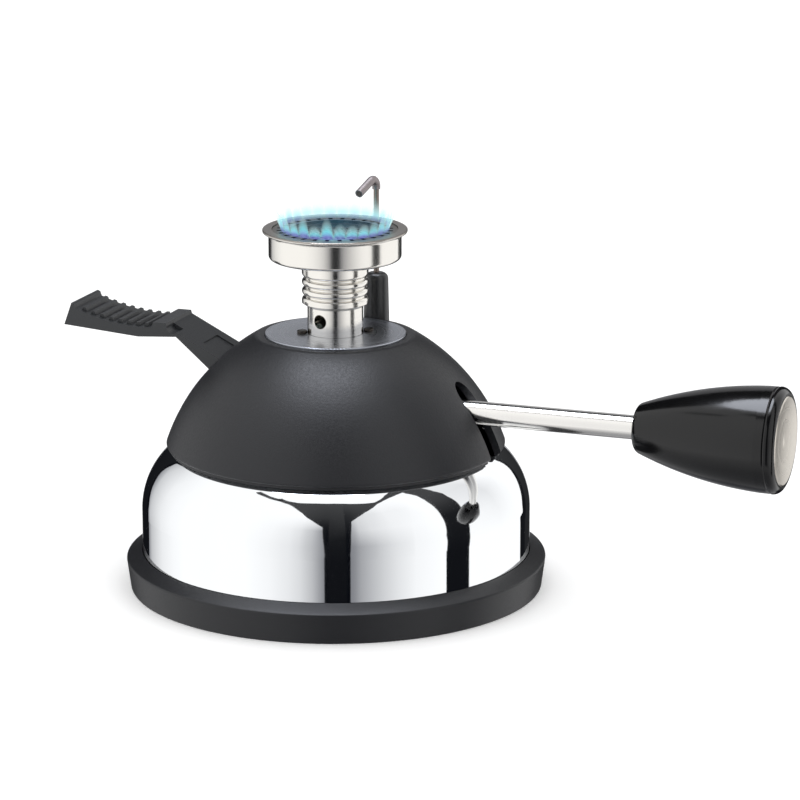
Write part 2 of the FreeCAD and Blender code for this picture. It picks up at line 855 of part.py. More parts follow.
def dome_shell():
    centre_across, centre_up = dome_centre()
    inner_curve = s.dome_curve_radius - s.dome_wall

    def inner_radius(height):
        drop = height - centre_up
        return centre_across + root(inner_curve * inner_curve - drop * drop)

    recess_radius = s.top_plate_radius + s.top_plate_gap
    neck_hole = s.neck_radius + s.dome_neck_gap
    # A land inside the rim closes the gap over the housing's shoulder.
    land_radius = dome_rim_radius - s.dome_land_setback
    land_height = shoulder_under_rim + s.dome_land_gap
    body = turned("dome_shell", [
        (inner_radius(dome_rim_height), dome_rim_height, -inner_curve),
        (dome_rim_radius - s.dome_wall, dome_rim_height),
        (dome_rim_radius - s.dome_wall, land_height),
        (land_radius, land_height),
        (land_radius, dome_rim_height),
        (dome_rim_radius, dome_rim_height),
        (crown_radius, crown_height, s.dome_curve_radius),
        (recess_radius, crown_height),
        (recess_radius, recess_floor),
        (neck_hole, recess_floor),
        (neck_hole, crown_bottom),
        (inner_radius(crown_bottom), crown_bottom),
    ])
    round_rings(body, [(crown_radius, crown_height)], s.dome_crown_round)
    round_rings(body, [(dome_rim_radius, dome_rim_height)], s.dome_rim_round)
    holes(body, around(plate_screw_circle, 2, s.plate_screw_angle),
          s.plate_screw_radius + s.screw_clearance, recess_floor, recess_floor - crown_bottom)
    holes(body, [(s.post_x, post_y)], s.post_foot_radius + s.post_hole_gap, crown_height,
          crown_height - frame_leg_top)
    half_slot = s.rod_radius + s.rod_slot_gap
    slot_top = rod_height + s.rod_slot_rise
    below_rim = dome_rim_height - s.dome_wall
    rod_slot = draw_outline(new_sketch(body, "YZ_Plane"), [
        (-half_slot, below_rim),
        (half_slot, below_rim),
        (half_slot, slot_top - half_slot),
        (0, slot_top, half_slot),
        (-half_slot, slot_top - half_slot, half_slot),
    ])
    cut(body, rod_slot, dome_rim_radius, reverse=True)
    slot_inner = crown_radius + s.dome_wall
    slot_bottom = lever_pivot_z + s.lever_slot_bottom
    above_arm = lever_pivot_z + s.lever_slot_gap
    lever_slot = draw_outline(new_sketch(body, "XZ_Plane"), [
        (-slot_inner, slot_bottom),
        (-slot_inner, above_arm + arm_height(slot_inner)),
        (-dome_rim_radius, above_arm + arm_height(dome_rim_radius)),
        (-dome_rim_radius, slot_bottom),
    ])
    cut(body, lever_slot, s.lever_width + s.lever_slot_gap * 2, symmetric=True)
    return body


def top_plate():
    top = recess_floor + s.top_plate_thickness
    neck_hole = s.neck_radius + s.top_plate_gap
    body = turned("top_plate", [
        (neck_hole, recess_floor),
        (s.top_plate_radius, recess_floor),
        (s.top_plate_radius, top),
        (neck_hole, top),
    ])
    round_rings(body, [(s.top_plate_radius, top)], s.top_plate_edge_round)
    holes(body, around(plate_screw_circle, 2, s.plate_screw_angle),
          s.plate_screw_radius + s.screw_clearance, top, s.top_plate_thickness)
    return body


def plate_screws():
    screw = pan_head_screw(s.plate_screw_head_radius.number, s.plate_screw_head_height.number,
                           s.plate_screw_radius.number, s.plate_screw_depth.number)
    height = (recess_floor + s.top_plate_thickness).number
    return screw_group("plate_screws", screw, plate_screw_circle.number, 2,
                       s.plate_screw_angle.number, height)


# Burner head

def burner_tube():
    collar_radius = s.neck_radius + s.collar_step
    groove_radius = collar_radius - s.collar_groove_depth
    half_groove = s.collar_groove_width / 2
    half_rib = (s.collar_rib_pitch - s.collar_groove_width) / 2
    depth = s.collar_groove_depth
    rib_curve = (half_rib * half_rib + depth * depth) / (depth * 2)
    shoulder_top = frame_crown_bottom - s.neck_fit_gap
    last_groove = cup_bottom - s.collar_top_land
    first_groove = last_groove - s.collar_rib_pitch * (s.collar_grooves - 1)
    collar_foot = first_groove - s.collar_foot_land
    corners = [
        (neck_bore, valve_block_top),
        (neck_shoulder_radius, valve_block_top),
        (neck_shoulder_radius, shoulder_top),
        (s.neck_radius, shoulder_top),
        (s.neck_radius, collar_foot),
        (collar_radius, collar_foot + s.collar_bevel_rise),
        (collar_radius, first_groove - half_groove - half_rib),
    ]
    for index in range(int(s.collar_grooves.number)):
        groove = first_groove + s.collar_rib_pitch * index
        corners.append((groove_radius, groove - half_groove, rib_curve))
        corners.append((groove_radius, groove + half_groove))
    corners += [
        (collar_radius, last_groove + half_groove + half_rib, rib_curve),
        (collar_radius, cup_bottom),
        (neck_spigot_radius, cup_bottom),
        (neck_spigot_radius, cup_bottom + s.neck_spigot_height),
        (neck_bore, cup_bottom + s.neck_spigot_height),
    ]
    body = turned("burner_tube", corners, axis=(0, 0, 1), angle=s.air_hole_turn)
    air_holes = new_sketch(body, "XZ_Plane")
    draw_circle(air_holes, 0, air_hole_height, s.air_hole_radius)
    cut(body, air_holes, neck_shoulder_radius * 2, symmetric=True)
    return body


def burner_cup():
    inner = s.cup_radius - s.cup_wall
    underside = cup_top - s.cup_rim_thickness
    hole = neck_spigot_radius + s.neck_fit_gap
    body = turned("burner_cup", [
        (hole, cup_bottom),
        (s.cup_radius - s.cup_corner_radius, cup_bottom),
        (s.cup_radius, cup_bottom + s.cup_corner_radius, s.cup_corner_radius),
        (s.cup_radius, underside - s.cup_flare_radius),
        (s.cup_radius + s.cup_flare_radius, underside, -s.cup_flare_radius),
        (cup_rim_radius, underside),
        (cup_rim_radius, cup_top),
        (inner, cup_top),
        (inner, cup_bottom + s.cup_corner_radius),
        (s.cup_radius - s.cup_corner_radius, cup_bottom + s.cup_floor_thickness,
         s.cup_wall - s.cup_corner_radius),
        (hole, cup_bottom + s.cup_floor_thickness),
    ])
    round_rings(body, [(cup_rim_radius, cup_top), (cup_rim_radius, underside)],
                s.cup_rim_round)
    return body


def flame_ring():
    floor = cup_bottom + s.cup_floor_thickness
    skirt_inner = flame_ring_radius - s.flame_ring_wall
    skirt_top = flame_ring_top - s.flame_ring_wall
    shelf_top = flame_ring_top - s.flame_ring_step
    shelf_bottom = shelf_top - s.flame_ring_wall
    slot_outer = flame_ring_radius - s.flame_slot_margin
    slot_inner = slot_outer - s.flame_slot_length
    step_inner = slot_inner - s.flame_step_margin
    window = step_inner - s.flame_ring_lip
    step_outer = step_inner + s.flame_ring_wall
    foot_outer = s.cup_radius - s.cup_corner_radius
    body = turned("flame_ring", [
        (foot_outer - s.flame_ring_wall, floor),
        (foot_outer, floor),
        (flame_ring_radius, floor + s.cup_corner_radius),
        (flame_ring_radius, flame_ring_top),
        (step_inner, flame_ring_top),
        (step_inner, shelf_top),
        (window, shelf_top),
        (window, shelf_bottom),
        (step_outer, shelf_bottom),
        (step_outer, skirt_top),
        (skirt_inner, skirt_top),
        (skirt_inner, floor + s.cup_corner_radius),
    ])
    slot = new_sketch(body, "XY_Plane", flame_ring_top)
    half_slot = s.flame_slot_width / 2
    draw_outline(slot, box_corners(slot_inner, -half_slot, slot_outer, half_slot))
    first = cut(body, slot, s.flame_ring_wall)
    one_slot_volume = body.Shape.Volume
    pattern = body.newObject("PartDesign::PolarPattern", "flame_ring_pattern")
    pattern.Originals = [first]
    pattern.Axis = (slot, ["N_Axis"])
    pattern.Angle = 360
    pattern.setExpression("Occurrences", s.flame_slots.text)
    body.Tip = pattern
    doc.recompute()
    if not body.Shape.Volume < one_slot_volume:
        raise RuntimeError("flame_ring: the slots were not repeated")
    return body


def flame_gauze():
    top = (flame_ring_top - s.flame_ring_step - s.flame_ring_wall).number
    radius = (flame_ring_radius - s.flame_ring_wall - s.flame_ring_gap).number
    disc = cylinder(radius, top - s.gauze_thickness.number, top)
    pitch = s.gauze_hole_pitch.number
    cutters = []
    for ring in range(int(s.gauze_rings.number)):
        count = max(1, 6 * ring)
        for index in range(count):
            angle = 2 * math.pi * index / count
            x = ring * pitch * math.cos(angle)
            y = ring * pitch * math.sin(angle)
            cutters.append(cylinder(s.gauze_hole_radius.number, top - pitch, top + pitch, x, y))
    return solid_feature("flame_gauze", disc.cut(Part.makeCompound(cutters)))


def gas_jet():
    foot = valve_block_top - s.jet_thread_length
    body_top = valve_block_top + s.jet_body_length
    top = air_hole_height - s.jet_air_hole_gap
    orifice_foot = top - s.jet_orifice_length
    return turned("gas_jet", [
        (s.jet_bore, foot),
        (s.jet_thread_radius, foot),
        (s.jet_thread_radius, valve_block_top),
        (s.jet_body_radius, valve_block_top),
        (s.jet_body_radius, body_top),
        (s.jet_nose_radius, top),
        (s.jet_orifice_radius, top),
        (s.jet_orifice_radius, orifice_foot),
        (s.jet_bore, orifice_foot),
    ])


# Tank and filling valve

def tank_cup():
    inner = s.tank_radius - s.tank_wall
    rim = tank_top - s.tank_lid_thickness
    body = turned("tank_cup", [
        (0, plate_top),
        (s.tank_radius, plate_top),
        (s.tank_radius, rim),
        (inner, rim),
        (inner, plate_top + s.tank_wall),
        (0, plate_top + s.tank_wall),
    ])
    holes(body, [(0, s.refill_offset)], s.refill_body_radius + s.refill_gap,
          plate_top + s.tank_wall, s.tank_wall)
    return body


def tank_lid():
    rim = tank_top - s.tank_lid_thickness
    spigot = s.tank_radius - s.tank_wall - s.tank_spigot_gap
    bore = s.valve_thread_radius + s.valve_fit_gap
    return turned("tank_lid", [
        (bore, rim - s.tank_spigot_depth),
        (spigot, rim - s.tank_spigot_depth),
        (spigot, rim),
        (s.tank_radius, rim),
        (s.tank_radius, tank_top),
        (s.tank_boss_radius, tank_top),
        (s.tank_boss_radius, boss_top),
        (bore, boss_top),
    ])


def feed_wick():
    foot = plate_top + s.tank_wall + s.feed_clearance
    top = boss_top - s.valve_thread_depth + s.feed_radius
    return turned("feed_wick", box_corners(0, foot, s.feed_radius, top))


def refill_valve():
    flange_top = s.floor_clearance + s.refill_flange_thickness
    top = flange_top + s.refill_body_height
    socket_top = s.floor_clearance + s.refill_socket_depth
    stem_bore = s.refill_stem_radius + s.refill_gap
    return turned("refill_valve", [
        (s.refill_socket_radius, s.floor_clearance),
        (s.refill_flange_radius, s.floor_clearance),
        (s.refill_flange_radius, flange_top),
        (s.refill_body_radius, flange_top),
        (s.refill_body_radius, top),
        (s.refill_vent_radius, top),
        (s.refill_vent_radius, refill_chamber_top),
        (s.refill_chamber_radius, refill_chamber_top),
        (s.refill_chamber_radius, refill_chamber_bottom),
        (stem_bore, refill_chamber_bottom),
        (stem_bore, socket_top),
        (s.refill_socket_radius, socket_top),
    ], base=(0, s.refill_offset, 0))


def refill_stem():
    return turned("refill_stem", [
        (0, s.refill_stem_drop),
        (s.refill_stem_radius, s.refill_stem_drop),
        (s.refill_stem_radius, refill_head_bottom),
        (s.refill_stem_head_radius, refill_head_bottom),
        (s.refill_stem_head_radius, refill_head_top),
        (0, refill_head_top),
    ], base=(0, s.refill_offset, 0))


def refill_seal():
    return turned("refill_seal", box_corners(
        s.refill_stem_radius + s.refill_gap, refill_chamber_bottom,
        s.refill_stem_head_radius - s.refill_gap, refill_head_bottom - s.refill_gap),
        base=(0, s.refill_offset, 0))


def refill_spring():
    gap = s.spring_end_gap.number
    shape = coil(s.refill_spring_radius.number, s.refill_spring_wire.number,
                 refill_head_top.number + gap, refill_chamber_top.number - gap,
                 int(s.refill_spring_turns.number), y=s.refill_offset.number)
    return solid_feature("refill_spring", shape)


# Valve

def valve_body():
    foot = boss_top - s.valve_thread_depth
    collar_end = boss_top + s.valve_collar_height
    wick_bore = s.feed_radius + s.valve_fit_gap
    socket = s.jet_thread_radius + s.valve_fit_gap
    socket_foot = valve_block_top - s.jet_thread_length - s.valve_fit_gap
    wick_top = foot + s.feed_radius + s.valve_fit_gap
    body = turned("valve_body", [
        (wick_bore, foot),
        (s.valve_thread_radius, foot),
        (s.valve_thread_radius, boss_top),
        (s.valve_collar_radius, boss_top),
        (s.valve_collar_radius, collar_end),
        (s.valve_column_radius, collar_end),
        (s.valve_column_radius, frame_top),
        (s.valve_block_radius, frame_top),
        (s.valve_block_radius, valve_block_top),
        (socket, valve_block_top),
        (socket, socket_foot),
        (s.valve_gas_bore, socket_foot),
        (s.valve_gas_bore, wick_top),
        (wick_bore, wick_top),
    ])
    barrel_start = s.valve_block_radius / 2
    barrel = new_sketch(body, "YZ_Plane", barrel_start)
    draw_circle(barrel, 0, rod_height, s.valve_barrel_radius)
    pad(body, barrel, s.valve_barrel_length - barrel_start)
    bores = [
        (s.spindle_radius + s.valve_fit_gap, s.valve_chamber_start),
        (s.needle_radius + s.valve_fit_gap, s.valve_seat_start),
        (s.valve_seat_radius, size_of(0)),
    ]
    for radius, end in bores:
        bore = new_sketch(body, "YZ_Plane", s.valve_barrel_length)
        draw_circle(bore, 0, rod_height, radius)
        cut(body, bore, s.valve_barrel_length - end)
    return body


def regulator_needle():
    cone_end = s.needle_tip_start + s.needle_cone_length
    return turned_along_rod("regulator_needle", [
        (0, s.needle_tip_start),
        (s.needle_tip_radius, s.needle_tip_start),
        (s.needle_radius, cone_end),
        (s.needle_radius, needle_shoulder),
        (s.needle_tail_radius, needle_shoulder),
        (s.needle_tail_radius, needle_end),
        (0, needle_end),
    ])


def valve_spindle():
    socket = s.needle_tail_radius + s.valve_fit_gap
    socket_end = needle_end + s.spindle_socket_gap
    body = turned_along_rod("valve_spindle", [
        (socket, spindle_start),
        (s.spindle_radius, spindle_start),
        (s.spindle_radius, spindle_end),
        (0, spindle_end),
        (0, socket_end),
        (socket, socket_end),
    ])
    cross_hole(body, s.spindle_radius)
    return body


def cross_hole(body, half_depth):
    """Hole for the spring pin, upright through a piece turned along the rod."""
    sketch = new_sketch(body, "YZ_Plane")
    draw_circle(sketch, 0, spindle_end - s.rod_pin_inset, s.rod_pin_radius + s.rod_fit_gap)
    cut(body, sketch, half_depth * 3, symmetric=True)


def spindle_seal():
    seal_end = seal_start + s.seal_wire_radius * 2
    inner = s.spindle_radius + s.valve_fit_gap
    return turned_along_rod("spindle_seal", box_corners(
        inner, seal_start, s.valve_barrel_radius - s.valve_fit_gap, seal_end - s.refill_gap))


def gland_nut():
    body = new_body("gland_nut")
    start = s.valve_barrel_length - s.gland_overlap
    cavity = s.gland_overlap + s.refill_gap + s.seal_wire_radius * 2
    hexagon = new_sketch(body, "YZ_Plane", start)
    corner_radius = s.gland_width / 2 / cosine(30)
    flats = [(across, up + rod_height) for across, up in around(corner_radius, 6, 0)]
    draw_outline(hexagon, flats)
    pad(body, hexagon, cavity + s.gland_end_wall)
    bores = [
        (s.valve_barrel_radius + s.valve_fit_gap, cavity),
        (s.spindle_radius + s.valve_fit_gap, cavity + s.gland_end_wall),
    ]
    for radius, depth in bores:
        bore = new_sketch(body, "YZ_Plane", start)
        draw_circle(bore, 0, rod_height, radius)
        cut(body, bore, depth, reverse=True)
    return body


# Rod and handle

def control_rod():
    bore = s.spindle_radius + s.rod_fit_gap
    body = turned_along_rod("control_rod", [
        (bore, rod_start),
        (s.rod_radius, rod_start),
        (s.rod_radius, rod_end),
        (0, rod_end),
        (0, spindle_end + s.rod_bore_gap),
        (bore, spindle_end + s.rod_bore_gap),
    ])
    cross_hole(body, s.rod_radius)
    return body


def rod_pin():
    length = s.rod_radius * 2 - s.rod_fit_gap * 2
    pin = doc.addObject("Part::Cylinder", "rod_pin")
    pin.Label = "rod_pin"
    pin.setExpression("Radius", s.rod_pin_radius.text)
    pin.setExpression("Height", length.text)
    pin.setExpression("Placement.Base.x", (spindle_end - s.rod_pin_inset).text)
    pin.setExpression("Placement.Base.z", (rod_height - length / 2).text)
    return pin


def control_handle():
    bore = s.rod_radius + s.rod_fit_gap
    stem_bore = s.cap_stem_radius + s.cap_gap
    stem_end = cap_seat - s.cap_stem_length - s.cap_gap
    half_seam = s.handle_seam_width / 2
    seam = handle_end - s.handle_seam_setback
    neck_curve = s.handle_neck_radius - s.handle_nose_radius
    return turned_along_rod("control_handle", [
        (bore, s.handle_start),
        (s.handle_nose_radius, s.handle_start),
        (s.handle_neck_radius, s.handle_start + s.handle_nose_length, neck_curve),
        (s.handle_swell_radius, handle_end - s.handle_swell_setback, s.handle_curve_radius),
        (s.handle_swell_radius, seam - half_seam),
        (s.handle_swell_radius - s.handle_seam_depth, seam),
        (s.handle_swell_radius, seam + half_seam),
        (s.handle_edge_radius, handle_end - s.handle_edge_setback),
        (s.handle_end_radius, handle_end, s.handle_end_curve),
        (cap_radius + s.cap_gap, handle_end),
        (cap_radius + s.cap_gap, cap_seat),
        (stem_bore, cap_seat),
        (stem_bore, stem_end),
        (0, stem_end),
        (0, rod_end + s.rod_fit_gap),
        (bore, rod_end + s.rod_fit_gap),
    ])


def handle_cap():
    cap_end = handle_end + s.cap_proud
    dish_radius = cap_radius - s.cap_bevel
    dish_curve = (dish_radius * dish_radius + s.cap_dish_depth * s.cap_dish_depth) / (
        s.cap_dish_depth * 2)
    return turned_along_rod("handle_cap", [
        (0, cap_seat - s.cap_stem_length),
        (s.cap_stem_radius, cap_seat - s.cap_stem_length),
        (s.cap_stem_radius, cap_seat),
        (cap_radius, cap_seat),
        (cap_radius, cap_end - s.cap_bevel),
        (dish_radius, cap_end),
        (0, cap_end - s.cap_dish_depth, -dish_curve),
    ])


# Frame inside the dome

def mechanism_frame():
    strut_top = leg_inner - s.frame_strut_set
    strut_foot = frame_leg_top - s.frame_strut_depth
    body = turned("mechanism_frame", box_corners(
        s.valve_column_radius + s.frame_valve_gap, housing_top, frame_radius, frame_top))
    arch = draw_outline(new_sketch(body, "YZ_Plane", s.post_x), [
        (leg_outer, frame_top),
        (leg_outer, frame_leg_top),
        (strut_top, frame_leg_top),
        (s.frame_crown_radius, crown_bottom),
        (-s.frame_crown_radius, crown_bottom),
        (-strut_top, frame_leg_top),
        (-leg_outer, frame_leg_top),
        (-leg_outer, frame_top),
        (-leg_inner, frame_top),
        (-leg_inner, strut_foot),
        (-s.frame_strut_inner, frame_crown_bottom),
        (s.frame_strut_inner, frame_crown_bottom),
        (leg_inner, strut_foot),
        (leg_inner, frame_top),
    ])
    pad(body, arch, s.frame_leg_depth, symmetric=True)
    crown = new_sketch(body, "XY_Plane", frame_crown_bottom)
    draw_circle(crown, 0, 0, s.frame_crown_radius)
    pad(body, crown, s.frame_crown_thickness)
    for offset in (cheek_inner, -cheek_outer):
        cheek = draw_outline(new_sketch(body, "XZ_Plane", offset), [
            (lever_pivot_x - s.cheek_radius, frame_top),
            (lever_pivot_x + s.cheek_radius, frame_top),
            (lever_pivot_x + s.cheek_radius, lever_pivot_z),
            (lever_pivot_x, lever_pivot_z + s.cheek_radius, s.cheek_radius),
            (lever_pivot_x - s.cheek_radius, lever_pivot_z, s.cheek_radius),
        ])
        pad(body, cheek, s.cheek_thickness)
    holes(body, [(0, 0)], s.neck_radius + s.neck_fit_gap, crown_bottom, s.frame_crown_thickness)
    holes(body, around(plate_screw_circle, 2, s.plate_screw_angle),
          s.plate_screw_radius + s.screw_clearance, crown_bottom, s.frame_crown_thickness)
    holes(body, around(frame_screw_circle, 4, 45), s.frame_screw_radius + s.screw_clearance,
          frame_top, s.frame_thickness)
    pin_hole = new_sketch(body, "XZ_Plane")
    draw_circle(pin_hole, lever_pivot_x, lever_pivot_z, s.pin_radius + s.pin_fit_gap)
    cut(body, pin_hole, cheek_outer * 2 + s.cheek_thickness, symmetric=True)
    half_depth = s.piezo_depth / 2 + s.piezo_window_gap
    half_width = s.piezo_width / 2 + s.piezo_window_gap
    window = draw_outline(new_sketch(body, "XY_Plane", frame_top), box_corners(
        piezo_x - half_depth, -half_width, piezo_x + half_depth, half_width))
    cut(body, window, s.frame_thickness)
    half_slot = s.frame_wire_slot_width / 2
    wire_slot = draw_outline(new_sketch(body, "XY_Plane", frame_leg_top), box_corners(
        s.post_x - half_slot, post_y - half_slot, s.post_x + half_slot, leg_outer + half_slot))
    cut(body, wire_slot, s.frame_wire_slot_depth)
    return body


def frame_screws():
    length = (s.frame_thickness + s.housing_wall + s.frame_screw_tip).number
    screw = pan_head_screw(s.frame_screw_head_radius.number, s.frame_screw_head_height.number,
                           s.frame_screw_radius.number, length)
    return screw_group("frame_screws", screw, frame_screw_circle.number, 4, 45.0,
                       frame_top.number)


# Lever

def arm_height(reach):
    """Top of the lever's arm over its pivot, at a distance from the burner axis."""
    return s.lever_arm_height + (reach - s.lever_arm_reach) * s.lever_arm_slope


def pad_height(reach, drop):
    """Height of the thumb pad's hollow curve over the pivot, lowered square to it by a drop."""
    radius = s.lever_pad_curve + drop
    along = reach - pad_low_reach
    return s.lever_pad_low_height + s.lever_pad_curve - root(radius * radius - along * along)


def lever_corners():
    valley = s.lever_rib_height
    flank = (s.lever_rib_base - s.lever_rib_top) / 2
    lip = lever_tip_reach - s.lever_lip_width
    pad_start = knuckle_end + flank
    step_reach = s.lever_knuckle_reach - s.lever_knuckle_step
    stop_inner = s.lever_arm_reach + (
        s.lever_stop_height + s.lever_arm_depth - s.lever_arm_height) / s.lever_arm_slope
    pivot_reach = -lever_pivot_x
    return [
        (-(lever_tip_reach + s.lever_toe_length), s.lever_toe_height),
        (-lever_tip_reach, pad_height(lever_tip_reach, 0)),
        (-lip, pad_height(lip, 0)),
        (flank - lip, pad_height(lip - flank, valley)),
        (-pad_start, pad_height(pad_start, valley), s.lever_pad_curve + valley),
        (-knuckle_end, s.lever_knuckle_height),
        (-s.lever_knuckle_reach, s.lever_knuckle_height),
        (-step_reach, arm_height(step_reach)),
        (-pivot_reach, arm_height(pivot_reach)),
        (-pivot_reach, arm_height(pivot_reach) - s.lever_arm_depth),
        (-stop_inner, s.lever_stop_height),
        (-s.lever_stop_reach, s.lever_stop_height),
        (-(s.lever_knuckle_reach - s.lever_heel_setback), s.lever_heel_height),
        (-(knuckle_end + s.lever_keel_reach), s.lever_keel_height),
    ]


def lever_ribs(body):
    """Ribs across the thumb pad, as many as fit between the tip and the knuckle."""
    first_rib = lever_tip_reach - s.lever_rib_tip_margin
    room = first_rib - knuckle_end - s.lever_rib_knuckle_margin
    count = int(room.number / s.lever_rib_pitch.number) + 1
    half_base = s.lever_rib_base / 2
    half_top = s.lever_rib_top / 2
    foot = s.lever_rib_height + s.lever_rib_root
    ribs = new_sketch(body, "XZ_Plane")
    for index in range(count):
        centre = first_rib - s.lever_rib_pitch * index
        draw_outline(ribs, [
            (-(centre + across), pad_height(centre + across, drop))
            for across, drop in ((half_base, foot), (-half_base, foot), (-half_top, 0), (half_top, 0))
        ])
    pad(body, ribs, s.lever_width - s.lever_rib_side_margin * 2, symmetric=True)


def ignition_lever():
    body = new_body("ignition_lever", base=(0, 0, lever_pivot_z))
    pad(body, draw_outline(new_sketch(body, "XZ_Plane"), lever_corners()), s.lever_width,
        symmetric=True)
    lever_ribs(body)
    boss = new_sketch(body, "XZ_Plane")
    draw_circle(boss, lever_pivot_x, 0, s.lever_boss_radius)
    pad(body, boss, s.lever_width, symmetric=True)
    nose = new_sketch(body, "XZ_Plane")
    draw_circle(nose, piezo_x, nose_height, s.lever_nose_radius)
    pad(body, nose, s.lever_nose_width, symmetric=True)

    skin_drop = s.lever_rib_height + s.lever_skin
    inner_end = knuckle_end + s.lever_skin
    outer_end = lever_tip_reach - s.lever_skin
    below = s.lever_keel_height - s.lever_skin
    hollow = draw_outline(new_sketch(body, "XZ_Plane"), [
        (-inner_end, pad_height(inner_end, skin_drop)),
        (-outer_end, pad_height(outer_end, skin_drop), -(s.lever_pad_curve + skin_drop)),
        (-outer_end, below),
        (-inner_end, below),
    ])
    cut(body, hollow, s.lever_width - s.lever_skin * 2, symmetric=True)

    panel_outer = s.lever_knuckle_reach - s.lever_panel_setback
    panel_inner = panel_outer - s.lever_panel_length
    panel = draw_outline(new_sketch(body, "XZ_Plane"), [
        (-panel_outer, arm_height(panel_outer) - s.lever_panel_depth),
        (-panel_inner, arm_height(panel_inner) - s.lever_panel_depth),
        (-panel_inner, arm_height(panel_inner) + s.lever_panel_depth),
        (-panel_outer, arm_height(panel_outer) + s.lever_panel_depth),
    ])
    cut(body, panel, s.lever_panel_width, symmetric=True)

    scoop_reach = s.lever_knuckle_reach - s.lever_scoop_setback
    scoop = new_sketch(body, "XZ_Plane", s.lever_width / 2)
    draw_circle(scoop, -scoop_reach, s.lever_scoop_height, s.lever_scoop_radius)
    cut(body, scoop, s.lever_scoop_length)

    bore = new_sketch(body, "XZ_Plane")
    draw_circle(bore, lever_pivot_x, 0, s.pin_radius + s.pin_fit_gap)
    cut(body, bore, s.lever_width * 2, symmetric=True)
    return body


def lever_pin():
    half_length = cheek_outer + s.pin_overhang
    body = new_body("lever_pin")
    section = new_sketch(body, "XZ_Plane")
    draw_circle(section, lever_pivot_x, lever_pivot_z, s.pin_radius)
    pad(body, section, half_length * 2, symmetric=True)
    return body


def pin_clips():
    """Two open rings on the pin, one outside each cheek."""
    x = lever_pivot_x.number
    z = lever_pivot_z.number
    thickness = s.clip_thickness.number
    radius = s.clip_radius.number
    inner = (s.pin_radius + s.valve_fit_gap).number
    start = (cheek_outer + s.clip_gap).number
    clips = []
    for y in (start, -start - thickness):
        ring = Part.makeCylinder(radius, thickness, Vector(x, y, z), Vector(0, 1, 0))
        ring = ring.cut(Part.makeCylinder(inner, thickness, Vector(x, y, z), Vector(0, 1, 0)))
        mouth = Part.makeBox(2 * inner, thickness, radius, Vector(x - inner, y, z - radius))
        clips.append(ring.cut(mouth))
    return solid_feature("pin_clips", Part.makeCompound(clips))


# Spark generator

def piezo_body():
    half_depth = s.piezo_depth / 2
    half_width = s.piezo_width / 2
    flange_top = frame_top + s.piezo_flange_thickness
    body = new_body("piezo_body")
    block = draw_outline(new_sketch(body, "XY_Plane", piezo_top - s.piezo_height), box_corners(
        piezo_x - half_depth, -half_width, piezo_x + half_depth, half_width))
    pad(body, block, s.piezo_height)
    flange_depth = half_depth + s.piezo_flange_side
    flange_width = half_width + s.piezo_flange_side
    flange = draw_outline(new_sketch(body, "XY_Plane", frame_top), box_corners(
        piezo_x - flange_depth, -flange_width, piezo_x + flange_depth, flange_width))
    pad(body, flange, flange_top - frame_top)
    holes(body, [(piezo_x, 0)], s.plunger_radius + s.plunger_fit_gap, piezo_top, s.plunger_well)
    return body


def piezo_plunger():
    head_bottom = plunger_top - s.plunger_head_thickness
    return turned("piezo_plunger", [
        (0, piezo_top - s.plunger_tail),
        (s.plunger_radius, piezo_top - s.plunger_tail),
        (s.plunger_radius, head_bottom),
        (s.plunger_head_radius, head_bottom),
        (s.plunger_head_radius, plunger_top),
        (0, plunger_top),
    ], base=(piezo_x, 0, 0))


def lever_spring():
    gap = s.spring_end_gap.number
    head_bottom = (plunger_top - s.plunger_head_thickness).number
    shape = coil(s.lever_spring_radius.number, s.lever_spring_wire.number,
                 piezo_top.number + gap, head_bottom - gap,
                 int(s.lever_spring_turns.number),
                 x=piezo_x.number)
    return solid_feature("lever_spring", shape)


# Electrode

def electrode_post():
    flange_top = frame_leg_top + s.post_flange_thickness
    bore = s.electrode_radius + s.electrode_gap
    top = crown_height + s.post_rise
    shoulder = top - s.post_top_round
    return turned("electrode_post", [
        (bore, frame_leg_top),
        (s.post_flange_radius, frame_leg_top),
        (s.post_flange_radius, flange_top),
        (s.post_foot_radius, flange_top),
        (s.post_top_radius, shoulder),
        (s.post_top_radius - s.post_top_round, top, s.post_top_round),
        (bore, top),
    ], base=(s.post_x, post_y, 0))


def electrode_route():
    x = s.post_x.number
    y = post_y.number
    inward = Vector(-x, -y, 0).normalize()
    corner = Vector(x, y, (cup_top + s.electrode_rise).number)
    tip = corner + inward * s.electrode_reach.number
    tip.z -= s.electrode_drop.number
    return corner, tip


def electrode():
    corner, tip = electrode_route()
    foot = Vector(corner.x, corner.y, (frame_leg_top - s.electrode_foot_drop).number)
    path = bent_path([foot, corner, tip], s.electrode_bend.number)
    return solid_feature("electrode", swept(path, s.electrode_radius.number))


def electrode_tip():
    """Sleeve over the bent end of the electrode."""
    corner, tip = electrode_route()
    start = corner - Vector(0, 0, s.electrode_sleeve_drop.number)
    path = bent_path([start, corner, tip], s.electrode_bend.number)
    outer = swept(path, s.electrode_tip_radius.number)
    inner = swept(path, (s.electrode_radius + s.electrode_gap).number)
    return solid_feature("electrode_tip", outer.cut(inner))


